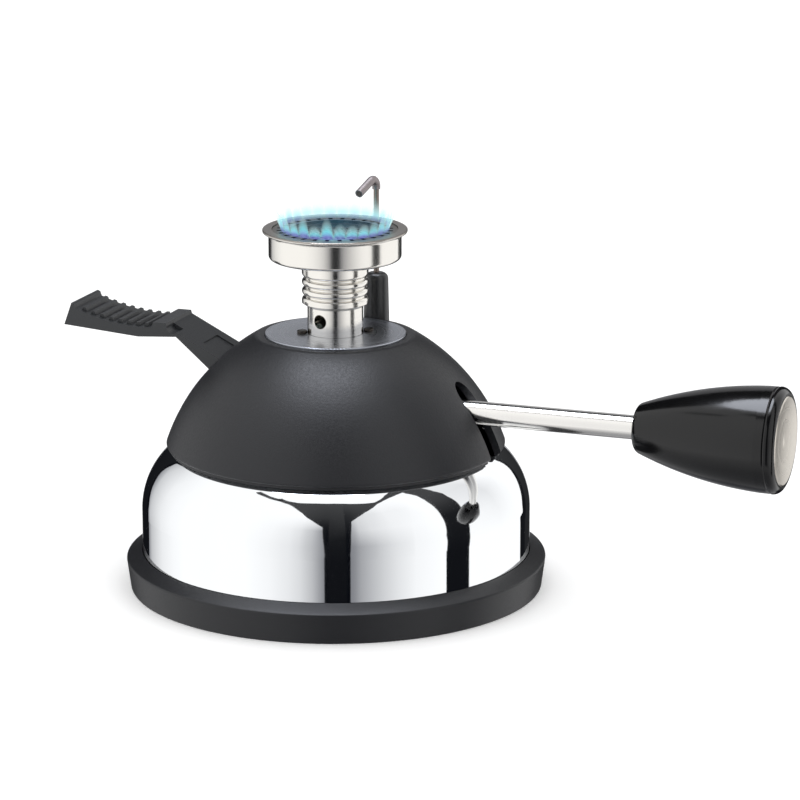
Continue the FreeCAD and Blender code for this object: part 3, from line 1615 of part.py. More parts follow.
def ignition_lead():
    """Lead from the side of the spark generator to the foot of the electrode."""
    post_x = s.post_x.number
    low = (frame_top + s.lead_rise).number
    wall_y = (leg_outer + s.lead_leg_gap).number
    high = (frame_leg_top - s.lead_top_drop).number
    start_x = piezo_x.number
    piezo_side = s.piezo_width.number / 2
    electrode_side = (post_y + s.electrode_radius + s.electrode_gap).number
    points = [
        Vector(start_x, piezo_side, low),
        Vector(start_x, piezo_side + s.lead_turn_gap.number, low),
        Vector(s.lead_wall_x.number, wall_y, low),
        Vector(post_x, wall_y, low),
        Vector(post_x, wall_y, high),
        Vector(post_x, electrode_side, high),
    ]
    path = bent_path(points, s.lead_bend.number)
    return solid_feature("ignition_lead", swept(path, s.lead_radius.number))


pieces = [
    base_ring(), bottom_plate(), base_screws(), housing_shell(),
    tank_cup(), tank_lid(), feed_wick(),
    refill_valve(), refill_stem(), refill_seal(), refill_spring(),
    valve_body(), regulator_needle(), valve_spindle(), spindle_seal(), gland_nut(), gas_jet(),
    control_rod(), rod_pin(), control_handle(), handle_cap(),
    mechanism_frame(), frame_screws(),
    ignition_lever(), lever_pin(), pin_clips(),
    piezo_body(), piezo_plunger(), lever_spring(),
    electrode_post(), electrode(), electrode_tip(), ignition_lead(),
    dome_shell(), top_plate(), plate_screws(),
    burner_tube(), burner_cup(), flame_ring(), flame_gauze(),
]
doc.recompute()

for item in doc.Objects:
    if "Invalid" in item.State or "Error" in item.State:
        raise RuntimeError(f"{item.Label} did not compute: {item.State}")
for piece in pieces:
    if piece.Shape.isNull() or not piece.Shape.isValid():
        raise RuntimeError(f"{piece.Label} has no valid shape")

os.makedirs("parts", exist_ok=True)
for piece in pieces:
    piece.Shape.exportStep(f"parts/{piece.Label}.step")
    print(f"{piece.Label}: {len(piece.Shape.Solids)} solids, {piece.Shape.Volume:.1f} cubic mm")
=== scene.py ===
import math
import random

import bmesh
import bpy
from bpy.props import BoolProperty, FloatProperty, FloatVectorProperty, IntProperty, PointerProperty
from bpy.types import Operator, Panel, PropertyGroup
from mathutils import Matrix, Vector


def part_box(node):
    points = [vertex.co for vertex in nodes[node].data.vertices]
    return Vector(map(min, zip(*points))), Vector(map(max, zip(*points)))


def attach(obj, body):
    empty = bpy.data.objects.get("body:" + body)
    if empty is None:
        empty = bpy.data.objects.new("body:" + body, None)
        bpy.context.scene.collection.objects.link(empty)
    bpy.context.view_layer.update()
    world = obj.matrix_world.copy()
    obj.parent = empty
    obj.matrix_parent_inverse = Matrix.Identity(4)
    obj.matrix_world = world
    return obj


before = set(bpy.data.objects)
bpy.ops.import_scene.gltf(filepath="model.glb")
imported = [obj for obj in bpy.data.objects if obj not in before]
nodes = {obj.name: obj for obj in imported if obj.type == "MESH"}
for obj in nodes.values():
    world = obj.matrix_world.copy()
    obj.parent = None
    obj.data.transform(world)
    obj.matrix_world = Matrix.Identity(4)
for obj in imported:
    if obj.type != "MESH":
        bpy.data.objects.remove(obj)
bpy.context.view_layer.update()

# Looks of a table-top gas burner: a chromed housing on a black foot ring, a matte domed shell, a
# stainless burner head with its flames, a black lever, and a plated rod with a black handle.
# Metres. The burner axis is Z, the table is Z = 0, the rod points along +X and the lever along -X.

bl_info = {
    "name": "Table Burner Finishes",
    "version": (1, 0, 0),
    "blender": (4, 5, 0),
    "location": "3D View > Sidebar > Burner",
    "description": "Finishes, flames and studio for a table-top gas burner",
    "category": "Material",
}

MM = 0.001
# Most of a noise pattern lies between these two values.
NOISE_LOW, NOISE_HIGH = 0.3, 0.7
# Grain and tool marks make a surface this much smoother in one place and rougher in another.
ROUGHNESS_SPREAD = 0.05


def linear(hex_colour, alpha=None):
    """Turns an sRGB colour such as "#8090a0" into linear values."""
    values = []
    for start in (1, 3, 5):
        share = int(hex_colour[start:start + 2], 16) / 255
        values.append(share / 12.92 if share <= 0.04045 else ((share + 0.055) / 1.055) ** 2.4)
    return tuple(values) if alpha is None else (*values, alpha)


def colour_setting(name, description, hex_colour):
    return FloatVectorProperty(name=name, description=description, subtype="COLOR", size=3,
                               min=0, max=1, default=linear(hex_colour))


def length_setting(name, description, millimetres):
    return FloatProperty(name=name, description=description, subtype="DISTANCE", unit="LENGTH",
                         default=millimetres * MM)


def share_setting(name, description, share):
    return FloatProperty(name=name, description=description, subtype="FACTOR", min=0, max=1,
                         default=share)


# Settings

class BurnerFinishSettings(PropertyGroup):
    ring_black: colour_setting("Foot ring", "Black of the moulded foot ring", "#15161a")
    dome_charcoal: colour_setting("Dome", "Charcoal of the domed shell", "#1a1b1f")
    lever_black: colour_setting("Lever", "Dark grey of the ignition lever", "#25272a")
    handle_black: colour_setting("Handle", "Black of the polished handle", "#060607")
    post_black: colour_setting("Post", "Black of the electrode's post", "#1b1c1e")
    chrome: colour_setting("Chrome", "Tint of the plated housing", "#f6f8fa")
    steel: colour_setting("Stainless steel", "Tint of the burner head", "#efece6")
    plate_steel: colour_setting("Plate", "Tint of the round plate in the crown", "#b4b8c0")
    rod_nickel: colour_setting("Rod", "Tint of the plated rod", "#f1efeb")
    cap_aluminium: colour_setting("Cap", "Tint of the cap in the handle", "#dcd6cc")


class BurnerFlameSettings(PropertyGroup):
    lit: BoolProperty(name="Lit", description="Show the flames over the burner", default=True)
    count: IntProperty(name="Tongues", description="Number of tongues, one over each slot",
                       default=28, min=3, max=90)
    tongue_height: length_setting("Tongues", "Height of the bright tongues over the slots", 7.4)
    haze_height: length_setting("Haze", "Height of the pale haze over the tongues", 8.0)
    lean: length_setting("Lean", "How far the haze leans outwards", 3.0)
    foot: colour_setting("Foot", "Violet blue where the gas leaves a slot", "#6a66c2")
    body: colour_setting("Body", "Cyan of a tongue", "#7be4f2")
    tip: colour_setting("Tip", "Pale cyan of a tongue's tip and of the haze", "#d8fbfc")
    density: share_setting("Density", "How much the tongues hide what is behind them", 0.92)
    light: FloatProperty(name="Light", description="Power of the light that the flames give",
                         subtype="POWER", unit="POWER", default=0.0012, min=0, max=1)


class BurnerStudioSettings(PropertyGroup):
    floor: colour_setting("Floor", "Pale floor and surroundings", "#ffffff")
    sky_strength: FloatProperty(name="Surroundings", description="Strength of the soft light",
                                default=1.08, min=0, max=10)
    softbox_power: FloatProperty(name="Softbox", description="Power of the lamp over the burner",
                                 subtype="POWER", unit="POWER", default=58.0, min=0, max=500)
    camera_turn: FloatProperty(name="Camera turn", description="Turn of the view about the burner",
                               subtype="ANGLE", unit="ROTATION", default=math.radians(20))
    camera_pitch: FloatProperty(name="Camera pitch", description="How far the view looks down",
                                subtype="ANGLE", unit="ROTATION", default=math.radians(14.46))
    camera_distance: length_setting("Camera distance", "From the camera to the burner", 1122.7)
    camera_right: length_setting("Aim right", "Aim point to the right of the axis", 19.46)
    camera_up: length_setting("Aim up", "Aim point above 50 mm on the axis", 6.9)
    lens: FloatProperty(name="Lens", description="Focal length", subtype="DISTANCE_CAMERA",
                        unit="CAMERA", default=166.5)


# Nodes, meshes and pieces

def add_node(tree, kind, inputs=None, **settings):
    """Adds a shader node with its settings. An input is a value, or a socket to link from."""
    made = tree.nodes.new(kind)
    for name, value in settings.items():
        setattr(made, name, value)
    for name, value in (inputs or {}).items():
        socket = made.inputs[name]
        if isinstance(value, bpy.types.NodeSocket):
            tree.links.new(value, socket)
        else:
            socket.default_value = value
    return made


def new_material(name, colour, roughness, metallic=0.0, ior=None, **sockets):
    """A material whose shader has its plain values set. Returns the material, tree and shader."""
    material = bpy.data.materials.new(name)
    material.use_nodes = True
    tree = material.node_tree
    shader = tree.nodes["Principled BSDF"]
    shader.inputs["Base Color"].default_value = (*colour, 1)
    shader.inputs["Roughness"].default_value = roughness
    shader.inputs["Metallic"].default_value = metallic
    if ior is not None:
        shader.inputs["IOR"].default_value = ior
    for socket, value in sockets.items():
        shader.inputs[socket].default_value = value
    material.diffuse_color = (*colour, 1)
    return material, tree, shader


def finish(material, *names):
    """Gives CAD nodes one material all over."""
    for name in names:
        mesh = nodes[name].data
        mesh.materials.clear()
        mesh.materials.append(material)


def place(tree, scale=(1, 1, 1)):
    """The point on the piece in metres, stretched by a scale."""
    point = add_node(tree, "ShaderNodeTexCoord").outputs["Object"]
    return add_node(tree, "ShaderNodeVectorMath", {0: point, 1: scale},
                    operation="MULTIPLY").outputs["Vector"]


def vary_colour(tree, shader, colour, factor, amount):
    """Shades the colour lighter and darker by a share as a factor goes from 0 to 1."""
    dark = tuple(value * (1 - amount) for value in colour) + (1,)
    light = tuple(min(1, value * (1 + amount)) for value in colour) + (1,)
    mix = add_node(tree, "ShaderNodeMix", {0: factor, 6: dark, 7: light}, data_type="RGBA")
    tree.links.new(mix.outputs[2], shader.inputs["Base Color"])


def vary_roughness(tree, shader, factor, low, high):
    """Makes the surface smoother and rougher as a factor goes from low to high."""
    spread = add_node(tree, "ShaderNodeMapRange", {
        "Value": factor, "From Min": NOISE_LOW, "From Max": NOISE_HIGH,
        "To Min": low, "To Max": high})
    tree.links.new(spread.outputs["Result"], shader.inputs["Roughness"])


def raise_surface(tree, shader, height, depth_mm):
    bump = add_node(tree, "ShaderNodeBump", {"Height": height, "Distance": depth_mm * MM})
    tree.links.new(bump.outputs["Normal"], shader.inputs["Normal"])


def moulded(name, colour, roughness, ior, grain_mm, grain_depth_mm, unevenness=0.06):
    """Moulded plastic: an eroded mould leaves a fine grain, and the flow leaves faint clouds."""
    # Real grain is about 0.1 mm across, too fine to show, so it is drawn several times as coarse.
    cloud_mm = 14
    material, tree, shader = new_material(name, colour, roughness, ior=ior)
    grain = add_node(tree, "ShaderNodeTexNoise", {
        "Vector": place(tree), "Scale": 1 / (grain_mm * MM), "Detail": 2.0, "Roughness": 0.6})
    clouds = add_node(tree, "ShaderNodeTexNoise", {
        "Vector": place(tree), "Scale": 1 / (cloud_mm * MM), "Detail": 2.0})
    vary_colour(tree, shader, colour, clouds.outputs["Fac"], unevenness)
    vary_roughness(tree, shader, grain.outputs["Fac"],
                   roughness - ROUGHNESS_SPREAD, roughness + ROUGHNESS_SPREAD)
    raise_surface(tree, shader, grain.outputs["Fac"], grain_depth_mm)
    return material


def turned(name, colour, roughness, mark_mm, mark_depth_mm, axis="Z", centre=(0, 0, 0)):
    """Metal from a lathe: fine rings about the axis, in the surface and in its sheen."""
    # Real tool marks are about 0.1 mm apart, too fine to show, so they are drawn coarser.
    cloud_mm = 9
    unevenness = 0.03
    material, tree, shader = new_material(name, colour, roughness, metallic=1.0)
    point = add_node(tree, "ShaderNodeTexCoord").outputs["Object"]
    shifted = add_node(tree, "ShaderNodeVectorMath", {0: point, 1: centre}, operation="SUBTRACT")
    split = add_node(tree, "ShaderNodeSeparateXYZ", {0: shifted.outputs["Vector"]})
    across = [letter for letter in "XYZ" if letter != axis]
    flat = add_node(tree, "ShaderNodeCombineXYZ", {
        "X": split.outputs[across[0]], "Y": split.outputs[across[1]]})
    reach = add_node(tree, "ShaderNodeVectorMath", {0: flat.outputs["Vector"]}, operation="LENGTH")
    rings = add_node(tree, "ShaderNodeCombineXYZ", {
        "X": reach.outputs["Value"], "Y": split.outputs[axis]})
    marks = add_node(tree, "ShaderNodeTexNoise", {
        "Vector": rings.outputs["Vector"], "Scale": 1 / (mark_mm * MM), "Detail": 3.0})
    clouds = add_node(tree, "ShaderNodeTexNoise", {
        "Vector": place(tree), "Scale": 1 / (cloud_mm * MM), "Detail": 1.0})
    vary_colour(tree, shader, colour, clouds.outputs["Fac"], unevenness)
    vary_roughness(tree, shader, marks.outputs["Fac"],
                   roughness - ROUGHNESS_SPREAD, roughness + ROUGHNESS_SPREAD)
    raise_surface(tree, shader, marks.outputs["Fac"], mark_depth_mm)
    return material


def cast_metal(name, colour, roughness, grain_mm, depth_mm, unevenness=0.05):
    """Cast, stamped or drawn metal with an even, faintly rough skin."""
    material, tree, shader = new_material(name, colour, roughness, metallic=1.0)
    grain = add_node(tree, "ShaderNodeTexNoise", {
        "Vector": place(tree), "Scale": 1 / (grain_mm * MM), "Detail": 2.0})
    vary_colour(tree, shader, colour, grain.outputs["Fac"], unevenness)
    vary_roughness(tree, shader, grain.outputs["Fac"],
                   roughness - ROUGHNESS_SPREAD, roughness + ROUGHNESS_SPREAD)
    raise_surface(tree, shader, grain.outputs["Fac"], depth_mm)
    return material


def settings():
    scene = bpy.context.scene
    return scene.burner_finish, scene.burner_flame, scene.burner_studio


def grid_mesh(name, rows, closed):
    """Mesh through rows of points. Each row closes on itself where closed is true."""
    mesh = bpy.data.meshes.new(name)
    shape = bmesh.new()
    made = [[shape.verts.new(point) for point in row] for row in rows]
    for row, above in zip(made, made[1:]):
        count = len(row)
        for index in range(count if closed else count - 1):
            following = (index + 1) % count
            shape.faces.new((row[index], row[following], above[following], above[index]))
    bmesh.ops.recalc_face_normals(shape, faces=shape.faces)
    shape.to_mesh(mesh)
    shape.free()
    mesh.polygons.foreach_set("use_smooth", [True] * len(mesh.polygons))
    piece = bpy.data.objects.new(name, mesh)
    bpy.context.scene.collection.objects.link(piece)
    return piece


# Base and housing

class BURNER_OT_finish_base(Operator):
    """Finish the foot ring, the bottom plate and its screws"""
    bl_idname = "burner.finish_base"
    bl_label = "Base"

    def execute(self, context):
        colours, _, _ = settings()
        # ABS, injection moulded in a spark-eroded mould: black that greys where light grazes it.
        finish(moulded("abs_moulded_black", colours.ring_black, 0.4, 1.46, 0.45, 0.02), "base_ring")
        # Mild steel plate, painted: flat black with the softened grain of a dipped coat.
        finish(moulded("steel_painted_black", linear("#1d1e20"), 0.5, 1.5, 1.2, 0.02),
               "bottom_plate")
        # Steel screws, zinc plated: pale and slightly dull.
        finish(cast_metal("steel_zinc_plated", linear("#b9bdc0"), 0.32, 0.8, 0.01),
               "base_screws", "frame_screws")
        return {"FINISHED"}


class BURNER_OT_finish_housing(Operator):
    """Finish the chromed housing"""
    bl_idname = "burner.finish_housing"
    bl_label = "Chromed housing"

    def execute(self, context):
        colours, _, _ = settings()
        # Steel, deep drawn, polished and chromed: a clean cool mirror with faint wiping marks.
        wipe_mm = 11
        wipe_stretch = (1, 1, 0.25)
        material, tree, shader = new_material("steel_chromed", colours.chrome, 0.03, metallic=1.0)
        wipes = add_node(tree, "ShaderNodeTexNoise", {
            "Vector": place(tree, wipe_stretch), "Scale": 1 / (wipe_mm * MM), "Detail": 3.0})
        vary_colour(tree, shader, colours.chrome, wipes.outputs["Fac"], 0.015)
        vary_roughness(tree, shader, wipes.outputs["Fac"], 0.02, 0.055)
        finish(material, "housing_shell")
        return {"FINISHED"}


# Dome

class BURNER_OT_finish_dome(Operator):
    """Finish the domed shell, the plate in its crown and the plate's screws"""
    bl_idname = "burner.finish_dome"
    bl_label = "Dome and plate"

    def execute(self, context):
        colours, _, _ = settings()
        # Glass-filled nylon, moulded with a matte eroded skin: charcoal with a broad soft sheen.
        finish(moulded("nylon_moulded_charcoal", colours.dome_charcoal, 0.44, 1.46, 0.7, 0.035,
                       unevenness=0.04), "dome_shell")
        # Stainless steel, face turned and left satin: grey that blurs the neck that stands on it.
        finish(turned("stainless_satin_turned", colours.plate_steel, 0.3, 0.35, 0.0012),
               "top_plate")
        # Steel screws, blackened: dark, with a thin oily sheen.
        finish(cast_metal("steel_blackened", linear("#4a4642"), 0.3, 0.6, 0.006), "plate_screws")
        return {"FINISHED"}


# Burner head

class BURNER_OT_finish_head(Operator):
    """Finish the burner neck, cup, flame ring, gauze and jet"""
    bl_idname = "burner.finish_head"
    bl_label = "Burner head"

    def execute(self, context):
        colours, _, _ = settings()
        polished, fired = 0.17, 0.42
        # Stainless steel, turned and polished: warm bright metal, drawn out along its rings.
        finish(turned("stainless_polished_turned", colours.steel, polished, 0.5, 0.001),
               "burner_tube")
        # Stainless steel, spun and polished: as bright, but greyed and dulled by heat at its rim.
        heat_start, heat_full, most_heat = 0.7 * MM, 0.2 * MM, 0.85
        material = turned("stainless_polished_spun", colours.steel, polished, 0.6, 0.001)
        tree = material.node_tree
        shader = tree.nodes["Principled BSDF"]
        clean = shader.inputs["Base Color"].links[0].from_socket
        height = add_node(tree, "ShaderNodeSeparateXYZ", {0: place(tree)})
        _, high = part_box("burner_cup")
        heat = add_node(tree, "ShaderNodeMapRange", {
            "Value": height.outputs["Z"], "From Min": high.z - heat_start,
            "From Max": high.z - heat_full, "To Min": 0.0, "To Max": most_heat})
        tinted = add_node(tree, "ShaderNodeMix", {
            0: heat.outputs["Result"], 6: clean, 7: linear("#7a726b", 1)}, data_type="RGBA")
        tree.links.new(tinted.outputs[2], shader.inputs["Base Color"])
        dulled = add_node(tree, "ShaderNodeMapRange", {
            "Value": heat.outputs["Result"], "To Min": polished, "To Max": fired})
        tree.links.new(dulled.outputs["Result"], shader.inputs["Roughness"])
        finish(material, "burner_cup")
        # Stainless steel, pressed and fired: dull brown-grey, bluish inside the ring of slots.
        edge_width, blue_start, spot_mm = 0.5 * MM, 4 * MM, 1.5
        material, tree, shader = new_material("stainless_heat_stained", linear("#8a857f"), 0.34,
                                              metallic=1.0)
        _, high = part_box("flame_ring")
        point = place(tree)
        flat = add_node(tree, "ShaderNodeVectorMath", {0: point, 1: (1, 1, 0)},
                        operation="MULTIPLY")
        reach = add_node(tree, "ShaderNodeVectorMath", {0: flat.outputs["Vector"]},
                         operation="LENGTH")
        inward = add_node(tree, "ShaderNodeMapRange", {
            "Value": reach.outputs["Value"], "From Min": high.x - edge_width,
            "From Max": high.x - blue_start, "To Min": 0.0, "To Max": 1.0})
        stain = add_node(tree, "ShaderNodeMix", {
            0: inward.outputs["Result"], 6: linear("#77716a", 1), 7: linear("#62727e", 1)},
            data_type="RGBA")
        tree.links.new(stain.outputs[2], shader.inputs["Base Color"])
        spots = add_node(tree, "ShaderNodeTexNoise", {"Vector": point, "Scale": 1 / (spot_mm * MM)})
        vary_roughness(tree, shader, spots.outputs["Fac"], 0.28, fired)
        finish(material, "flame_ring")
        # Stainless wire gauze, pressed flat: the same metal, brighter where the gas cools it.
        finish(cast_metal("stainless_gauze", linear("#8f959a"), 0.3, 0.6, 0.01), "flame_gauze")
        # Brass, turned and dull, in a dark brown that is painted shade, so the air hole stays dark.
        finish(turned("brass_turned_painted_shade", linear("#3a3124"), 0.5, 0.4, 0.003), "gas_jet")
        # Brass, turned: yellow metal with tool marks.
        finish(turned("brass_turned", linear("#c9a55e"), 0.22, 0.4, 0.003),
               "valve_body", "gland_nut", "refill_valve", "refill_stem")
        return {"FINISHED"}


class BURNER_OT_finish_electrode(Operator):
    """Finish the electrode, its sleeve and its post"""
    bl_idname = "burner.finish_electrode"
    bl_label = "Electrode"

    def execute(self, context):
        colours, _, _ = settings()
        # Nickel-chromium wire, drawn: grey, browned by the flame.
        finish(cast_metal("nickel_chromium_drawn", linear("#8a7f78"), 0.3, 1.2, 0.004, 0.15),
               "electrode")
        # Stainless tube, bent over the wire: paler and dull, with brown heat stains.
        finish(cast_metal("stainless_tube_bent", linear("#9c9494"), 0.48, 1.6, 0.004, 0.2),
               "electrode_tip")
        # PPS, moulded: smooth black that takes a soft vertical sheen.
        finish(moulded("pps_moulded_black", colours.post_black, 0.34, 1.6, 0.5, 0.01),
               "electrode_post")
        return {"FINISHED"}


# Lever, rod and handle

class BURNER_OT_finish_lever(Operator):
    """Finish the ignition lever with its pin and clips"""
    bl_idname = "burner.finish_lever"
    bl_label = "Ignition lever"

    def execute(self, context):
        colours, _, _ = settings()
        # ABS, injection moulded with a fine matte grain: dark grey, paler where it faces the light.
        finish(moulded("abs_moulded_lever", colours.lever_black, 0.46, 1.53, 0.4, 0.02),
               "ignition_lever")
        # Steel, ground: bright and plain.
        finish(cast_metal("steel_ground", linear("#b8b9ba"), 0.2, 0.8, 0.003),
               "lever_pin", "pin_clips", "rod_pin", "lever_spring", "refill_spring")
        return {"FINISHED"}


class BURNER_OT_finish_control(Operator):
    """Finish the rod, the handle and the cap in its end"""
    bl_idname = "burner.finish_control"
    bl_label = "Rod and handle"

    def execute(self, context):
        colours, _, _ = settings()
        low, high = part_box("control_rod")
        axis = (0, 0, (low.z + high.z) / 2)
        # Steel, ground and nickel plated: a warm mirror drawn out along the rod.
        finish(turned("steel_nickel_plated", colours.rod_nickel, 0.14, 0.5, 0.0008, "X", axis),
               "control_rod", "valve_spindle", "regulator_needle")
        # Phenolic, moulded and buffed: deep black under a clear gloss.
        swirl_mm = 7
        material, tree, shader = new_material("phenolic_buffed_black", colours.handle_black, 0.15,
                                              ior=1.47)
        swirls = add_node(tree, "ShaderNodeTexNoise", {
            "Vector": place(tree), "Scale": 1 / (swirl_mm * MM), "Detail": 3.0})
        vary_colour(tree, shader, colours.handle_black, swirls.outputs["Fac"], 0.15)
        vary_roughness(tree, shader, swirls.outputs["Fac"], 0.13, 0.18)
        finish(material, "control_handle")
        # Aluminium, spun: pale and satin, with rings about its centre.
        finish(turned("aluminium_spun", colours.cap_aluminium, 0.3, 0.5, 0.002, "X", axis),
               "handle_cap")
        return {"FINISHED"}


class BURNER_OT_finish_inside(Operator):
    """Finish the tank, the frame and the spark generator inside the shell"""
    bl_idname = "burner.finish_inside"
    bl_label = "Parts inside"

    def execute(self, context):
        # Acetal, moulded: milky white and waxy.
        finish(moulded("acetal_moulded_white", linear("#d8d6cf"), 0.35, 1.48, 1.0, 0.01),
               "tank_cup", "tank_lid")
        # Cotton cord, twisted: soft and off-white.
        finish(moulded("cotton_twisted", linear("#e4dfd2"), 0.9, 1.45, 0.5, 0.15), "feed_wick")
        # Nitrile rubber, moulded: dull black.
        finish(moulded("nitrile_rubber", linear("#161616"), 0.75, 1.52, 0.6, 0.02),
               "spindle_seal", "refill_seal")
        # Zinc alloy, die cast: grey with a fine skin.
        finish(cast_metal("zinc_die_cast", linear("#8f9296"), 0.45, 1.0, 0.02), "mechanism_frame")
        # Acetal, moulded and dyed: black body with a pale plunger.
        finish(moulded("acetal_moulded_black", linear("#202124"), 0.38, 1.48, 0.6, 0.01),
               "piezo_body")
        finish(moulded("acetal_moulded_natural", linear("#cfcabc"), 0.38, 1.48, 0.6, 0.01),
               "piezo_plunger")
        # Silicone rubber, extruded: smooth red-brown lead.
        finish(moulded("silicone_extruded", linear("#7d2a22"), 0.5, 1.41, 0.8, 0.01),
               "ignition_lead")
        return {"FINISHED"}


# Flames

def flame_material(flames):
    """Burning gas: violet blue at the foot, cyan in the body, pale and gone at the tip."""
    # It glows and veils what is behind it, as a thin flame does on a pale ground.
    material = bpy.data.materials.new("flame_burning_gas")
    material.use_nodes = True
    tree = material.node_tree
    tree.nodes.remove(tree.nodes["Principled BSDF"])
    rise = add_node(tree, "ShaderNodeAttribute", attribute_name="rise").outputs["Fac"]
    body = add_node(tree, "ShaderNodeAttribute", attribute_name="body").outputs["Fac"]
    colour = add_node(tree, "ShaderNodeValToRGB", {"Fac": rise})
    ramp = colour.color_ramp
    ramp.elements[0].position, ramp.elements[0].color = 0.14, (*flames.foot, 1)
    ramp.elements[1].position, ramp.elements[1].color = 0.85, (*flames.tip, 1)
    middle = ramp.elements.new(0.4)
    middle.color = (*flames.body, 1)
    clear = add_node(tree, "ShaderNodeBsdfTransparent")
    glow = add_node(tree, "ShaderNodeEmission", {
        "Color": colour.outputs["Color"], "Strength": 1.1})
    mixed = add_node(tree, "ShaderNodeMixShader", {
        0: body, 1: clear.outputs[0], 2: glow.outputs[0]})
    tree.links.new(mixed.outputs[0], tree.nodes["Material Output"].inputs["Surface"])
    return material


def flame_sheet(circle, foot, height, lean, low, start, thickness, draw, count):
    """Open sheet round the burner whose upper edge rises in one tongue over each slot. Returns
    rows of points and, for each point, how far up its tongue it is and how dense the flame is."""
    # The edge between two tongues is a share low of the height, and start is how far up its
    # colours the sheet's foot is.
    points_per_tongue, steps = 8, 14
    shortest, weakest, bulge = 0.6, 0.55, 0.3 * MM
    tall = [height * draw.uniform(shortest, 1.0) for _ in range(count)]
    strong = [draw.uniform(weakest, 1.0) for _ in range(count)]
    rows, rises, bodies = [], [], []
    for step in range(steps + 1):
        share = step / steps
        row = []
        for point in range(count * points_per_tongue):
            number = point / points_per_tongue
            turn = 2 * math.pi * number / count
            lobe = math.sqrt(max(0, math.cos(math.pi * (number - round(number)))))
            near = round(number) % count
            reach = circle + lean * share ** 1.5 + bulge * lobe * math.sin(math.pi * share)
            rise = height * low + (tall[near] - height * low) * lobe
            row.append((reach * math.cos(turn), reach * math.sin(turn), foot + rise * share))
            rises.append(start + (1 - start) * share)
            fade_in = min(1, 0.5 * (1 - start) + 3 * share)
            fade = fade_in * min(1, 1.4 * (1 - share)) ** 1.2
            bodies.append(min(1, thickness(turn) * (low + (1 - low) * lobe * strong[near]) * fade))
        rows.append(row)
    return rows, rises, bodies


class BURNER_OT_make_flames(Operator):
    """Make the flames over the slots of the burner"""
    bl_idname = "burner.make_flames"
    bl_label = "Flames"

    def execute(self, context):
        _, flames, _ = settings()
        if not flames.lit:
            return {"FINISHED"}
        _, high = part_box("flame_ring")
        slots_from_edge, clearance, tongue_lean = 2.65 * MM, 0.1 * MM, 0.9 * MM
        circle = high.x - slots_from_edge
        foot = high.z + clearance
        hazy_side = math.radians(110)
        draw = random.Random(7)
        material = flame_material(flames)

        def haziness(turn):
            return (1 + math.cos(turn - hazy_side)) / 2

        def tongue_thickness(turn):
            return flames.density * (1 - 0.7 * haziness(turn) ** 2)

        def haze_thickness(turn):
            return flames.density * (0.08 + 0.92 * haziness(turn) ** 0.9)

        for name, height, lean, edge, start, thickness in (
                ("flame_tongues", flames.tongue_height, tongue_lean, 0.35, 0.0, tongue_thickness),
                ("flame_haze", flames.haze_height, flames.lean, 0.9, 0.7, haze_thickness)):
            rows, rises, bodies = flame_sheet(circle, foot, height, lean, edge, start, thickness,
                                              draw, flames.count)
            piece = grid_mesh(name, rows, True)
            for label, values in (("rise", rises), ("body", bodies)):
                piece.data.attributes.new(label, "FLOAT", "POINT").data.foreach_set("value", values)
            piece.data.materials.append(material)
            piece.visible_shadow = False
            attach(piece, "stand")
        light_radius, light_rise = 6 * MM, 4 * MM
        lamp = bpy.data.objects.new("flame_light", bpy.data.lights.new("flame_light", "POINT"))
        lamp.data.energy = flames.light
        lamp.data.color = flames.body
        lamp.data.shadow_soft_size = light_radius
        lamp.location = (0, 0, high.z + light_rise)
        bpy.context.scene.collection.objects.link(lamp)
        return {"FINISHED"}


# Studio

# Distances of the cards from the burner in metres, and the degrees between a card's columns.
VELVET_DISTANCE, GAUZE_DISTANCE, LOW_GAUZE_DISTANCE = 2.0, 2.04, 1.96
CARD_STEP = 2
# Rises in degrees, and how much velvet covers there: it thins a little higher up.
VELVET_COVER = ((-17, 0.997), (28, 0.991), (40, 0.968), (50, 0.945))


def divided(start, end, parts):
    """Points laid evenly from the start up to the end, which is left out."""
    return [tuple(a + (b - a) * part / parts for a, b in zip(start, end)) for part in range(parts)]


def card(name, columns, material, distance):
    """Card far outside the view, seen in reflections only. A column is a list of points, each a
    turn, a rise and how much the card covers there. Angles are in degrees. Turn 0 is over the
    camera, and turns grow to its right."""
    _, _, studio = settings()
    front = -math.pi / 2 + studio.camera_turn
    rise_parts = 12
    lines = []
    for column, following in zip(columns, columns[1:]):
        parts = max(1, math.ceil(abs(following[0][0] - column[0][0]) / CARD_STEP))
        lines += zip(*[divided(a, b, parts) for a, b in zip(column, following)])
    lines.append(columns[-1])
    rows, covers = [], []
    for line in lines:
        row = []
        for turn, rise, cover in [
                point for a, b in zip(line, line[1:])
                for point in divided(a, b, rise_parts)] + [line[-1]]:
            around, up = front + math.radians(turn), math.radians(rise)
            row.append((distance * math.cos(around) * math.cos(up),
                        distance * math.sin(around) * math.cos(up), distance * math.sin(up)))
            covers.append(cover)
        rows.append(row)
    made = grid_mesh(name, rows, False)
    made.data.attributes.new("cover", "FLOAT", "POINT").data.foreach_set("value", covers)
    made.data.materials.append(material)
    made.visible_camera = made.visible_diffuse = made.visible_shadow = False
    made.visible_transmission = made.visible_volume_scatter = False


def on_line(line, place_along):
    """Height of a line of points at a place, level before its first and after its last."""
    if place_along <= line[0][0]:
        return line[0][1]
    for (start, low), (end, high) in zip(line, line[1:]):
        if place_along <= end:
            return low + (high - low) * (place_along - start) / (end - start)
    return line[-1][1]


def veil(*points):
    """Column of a velvet card through turns and rises."""
    return [(turn, rise, on_line(VELVET_COVER, rise)) for turn, rise in points]


def strip(below, above):
    """Columns of a velvet card between two lines of turns and rises."""
    turns = sorted({turn for turn, _ in (*below, *above)})
    return [veil((turn, on_line(below, turn)), (turn, on_line(above, turn))) for turn in turns]


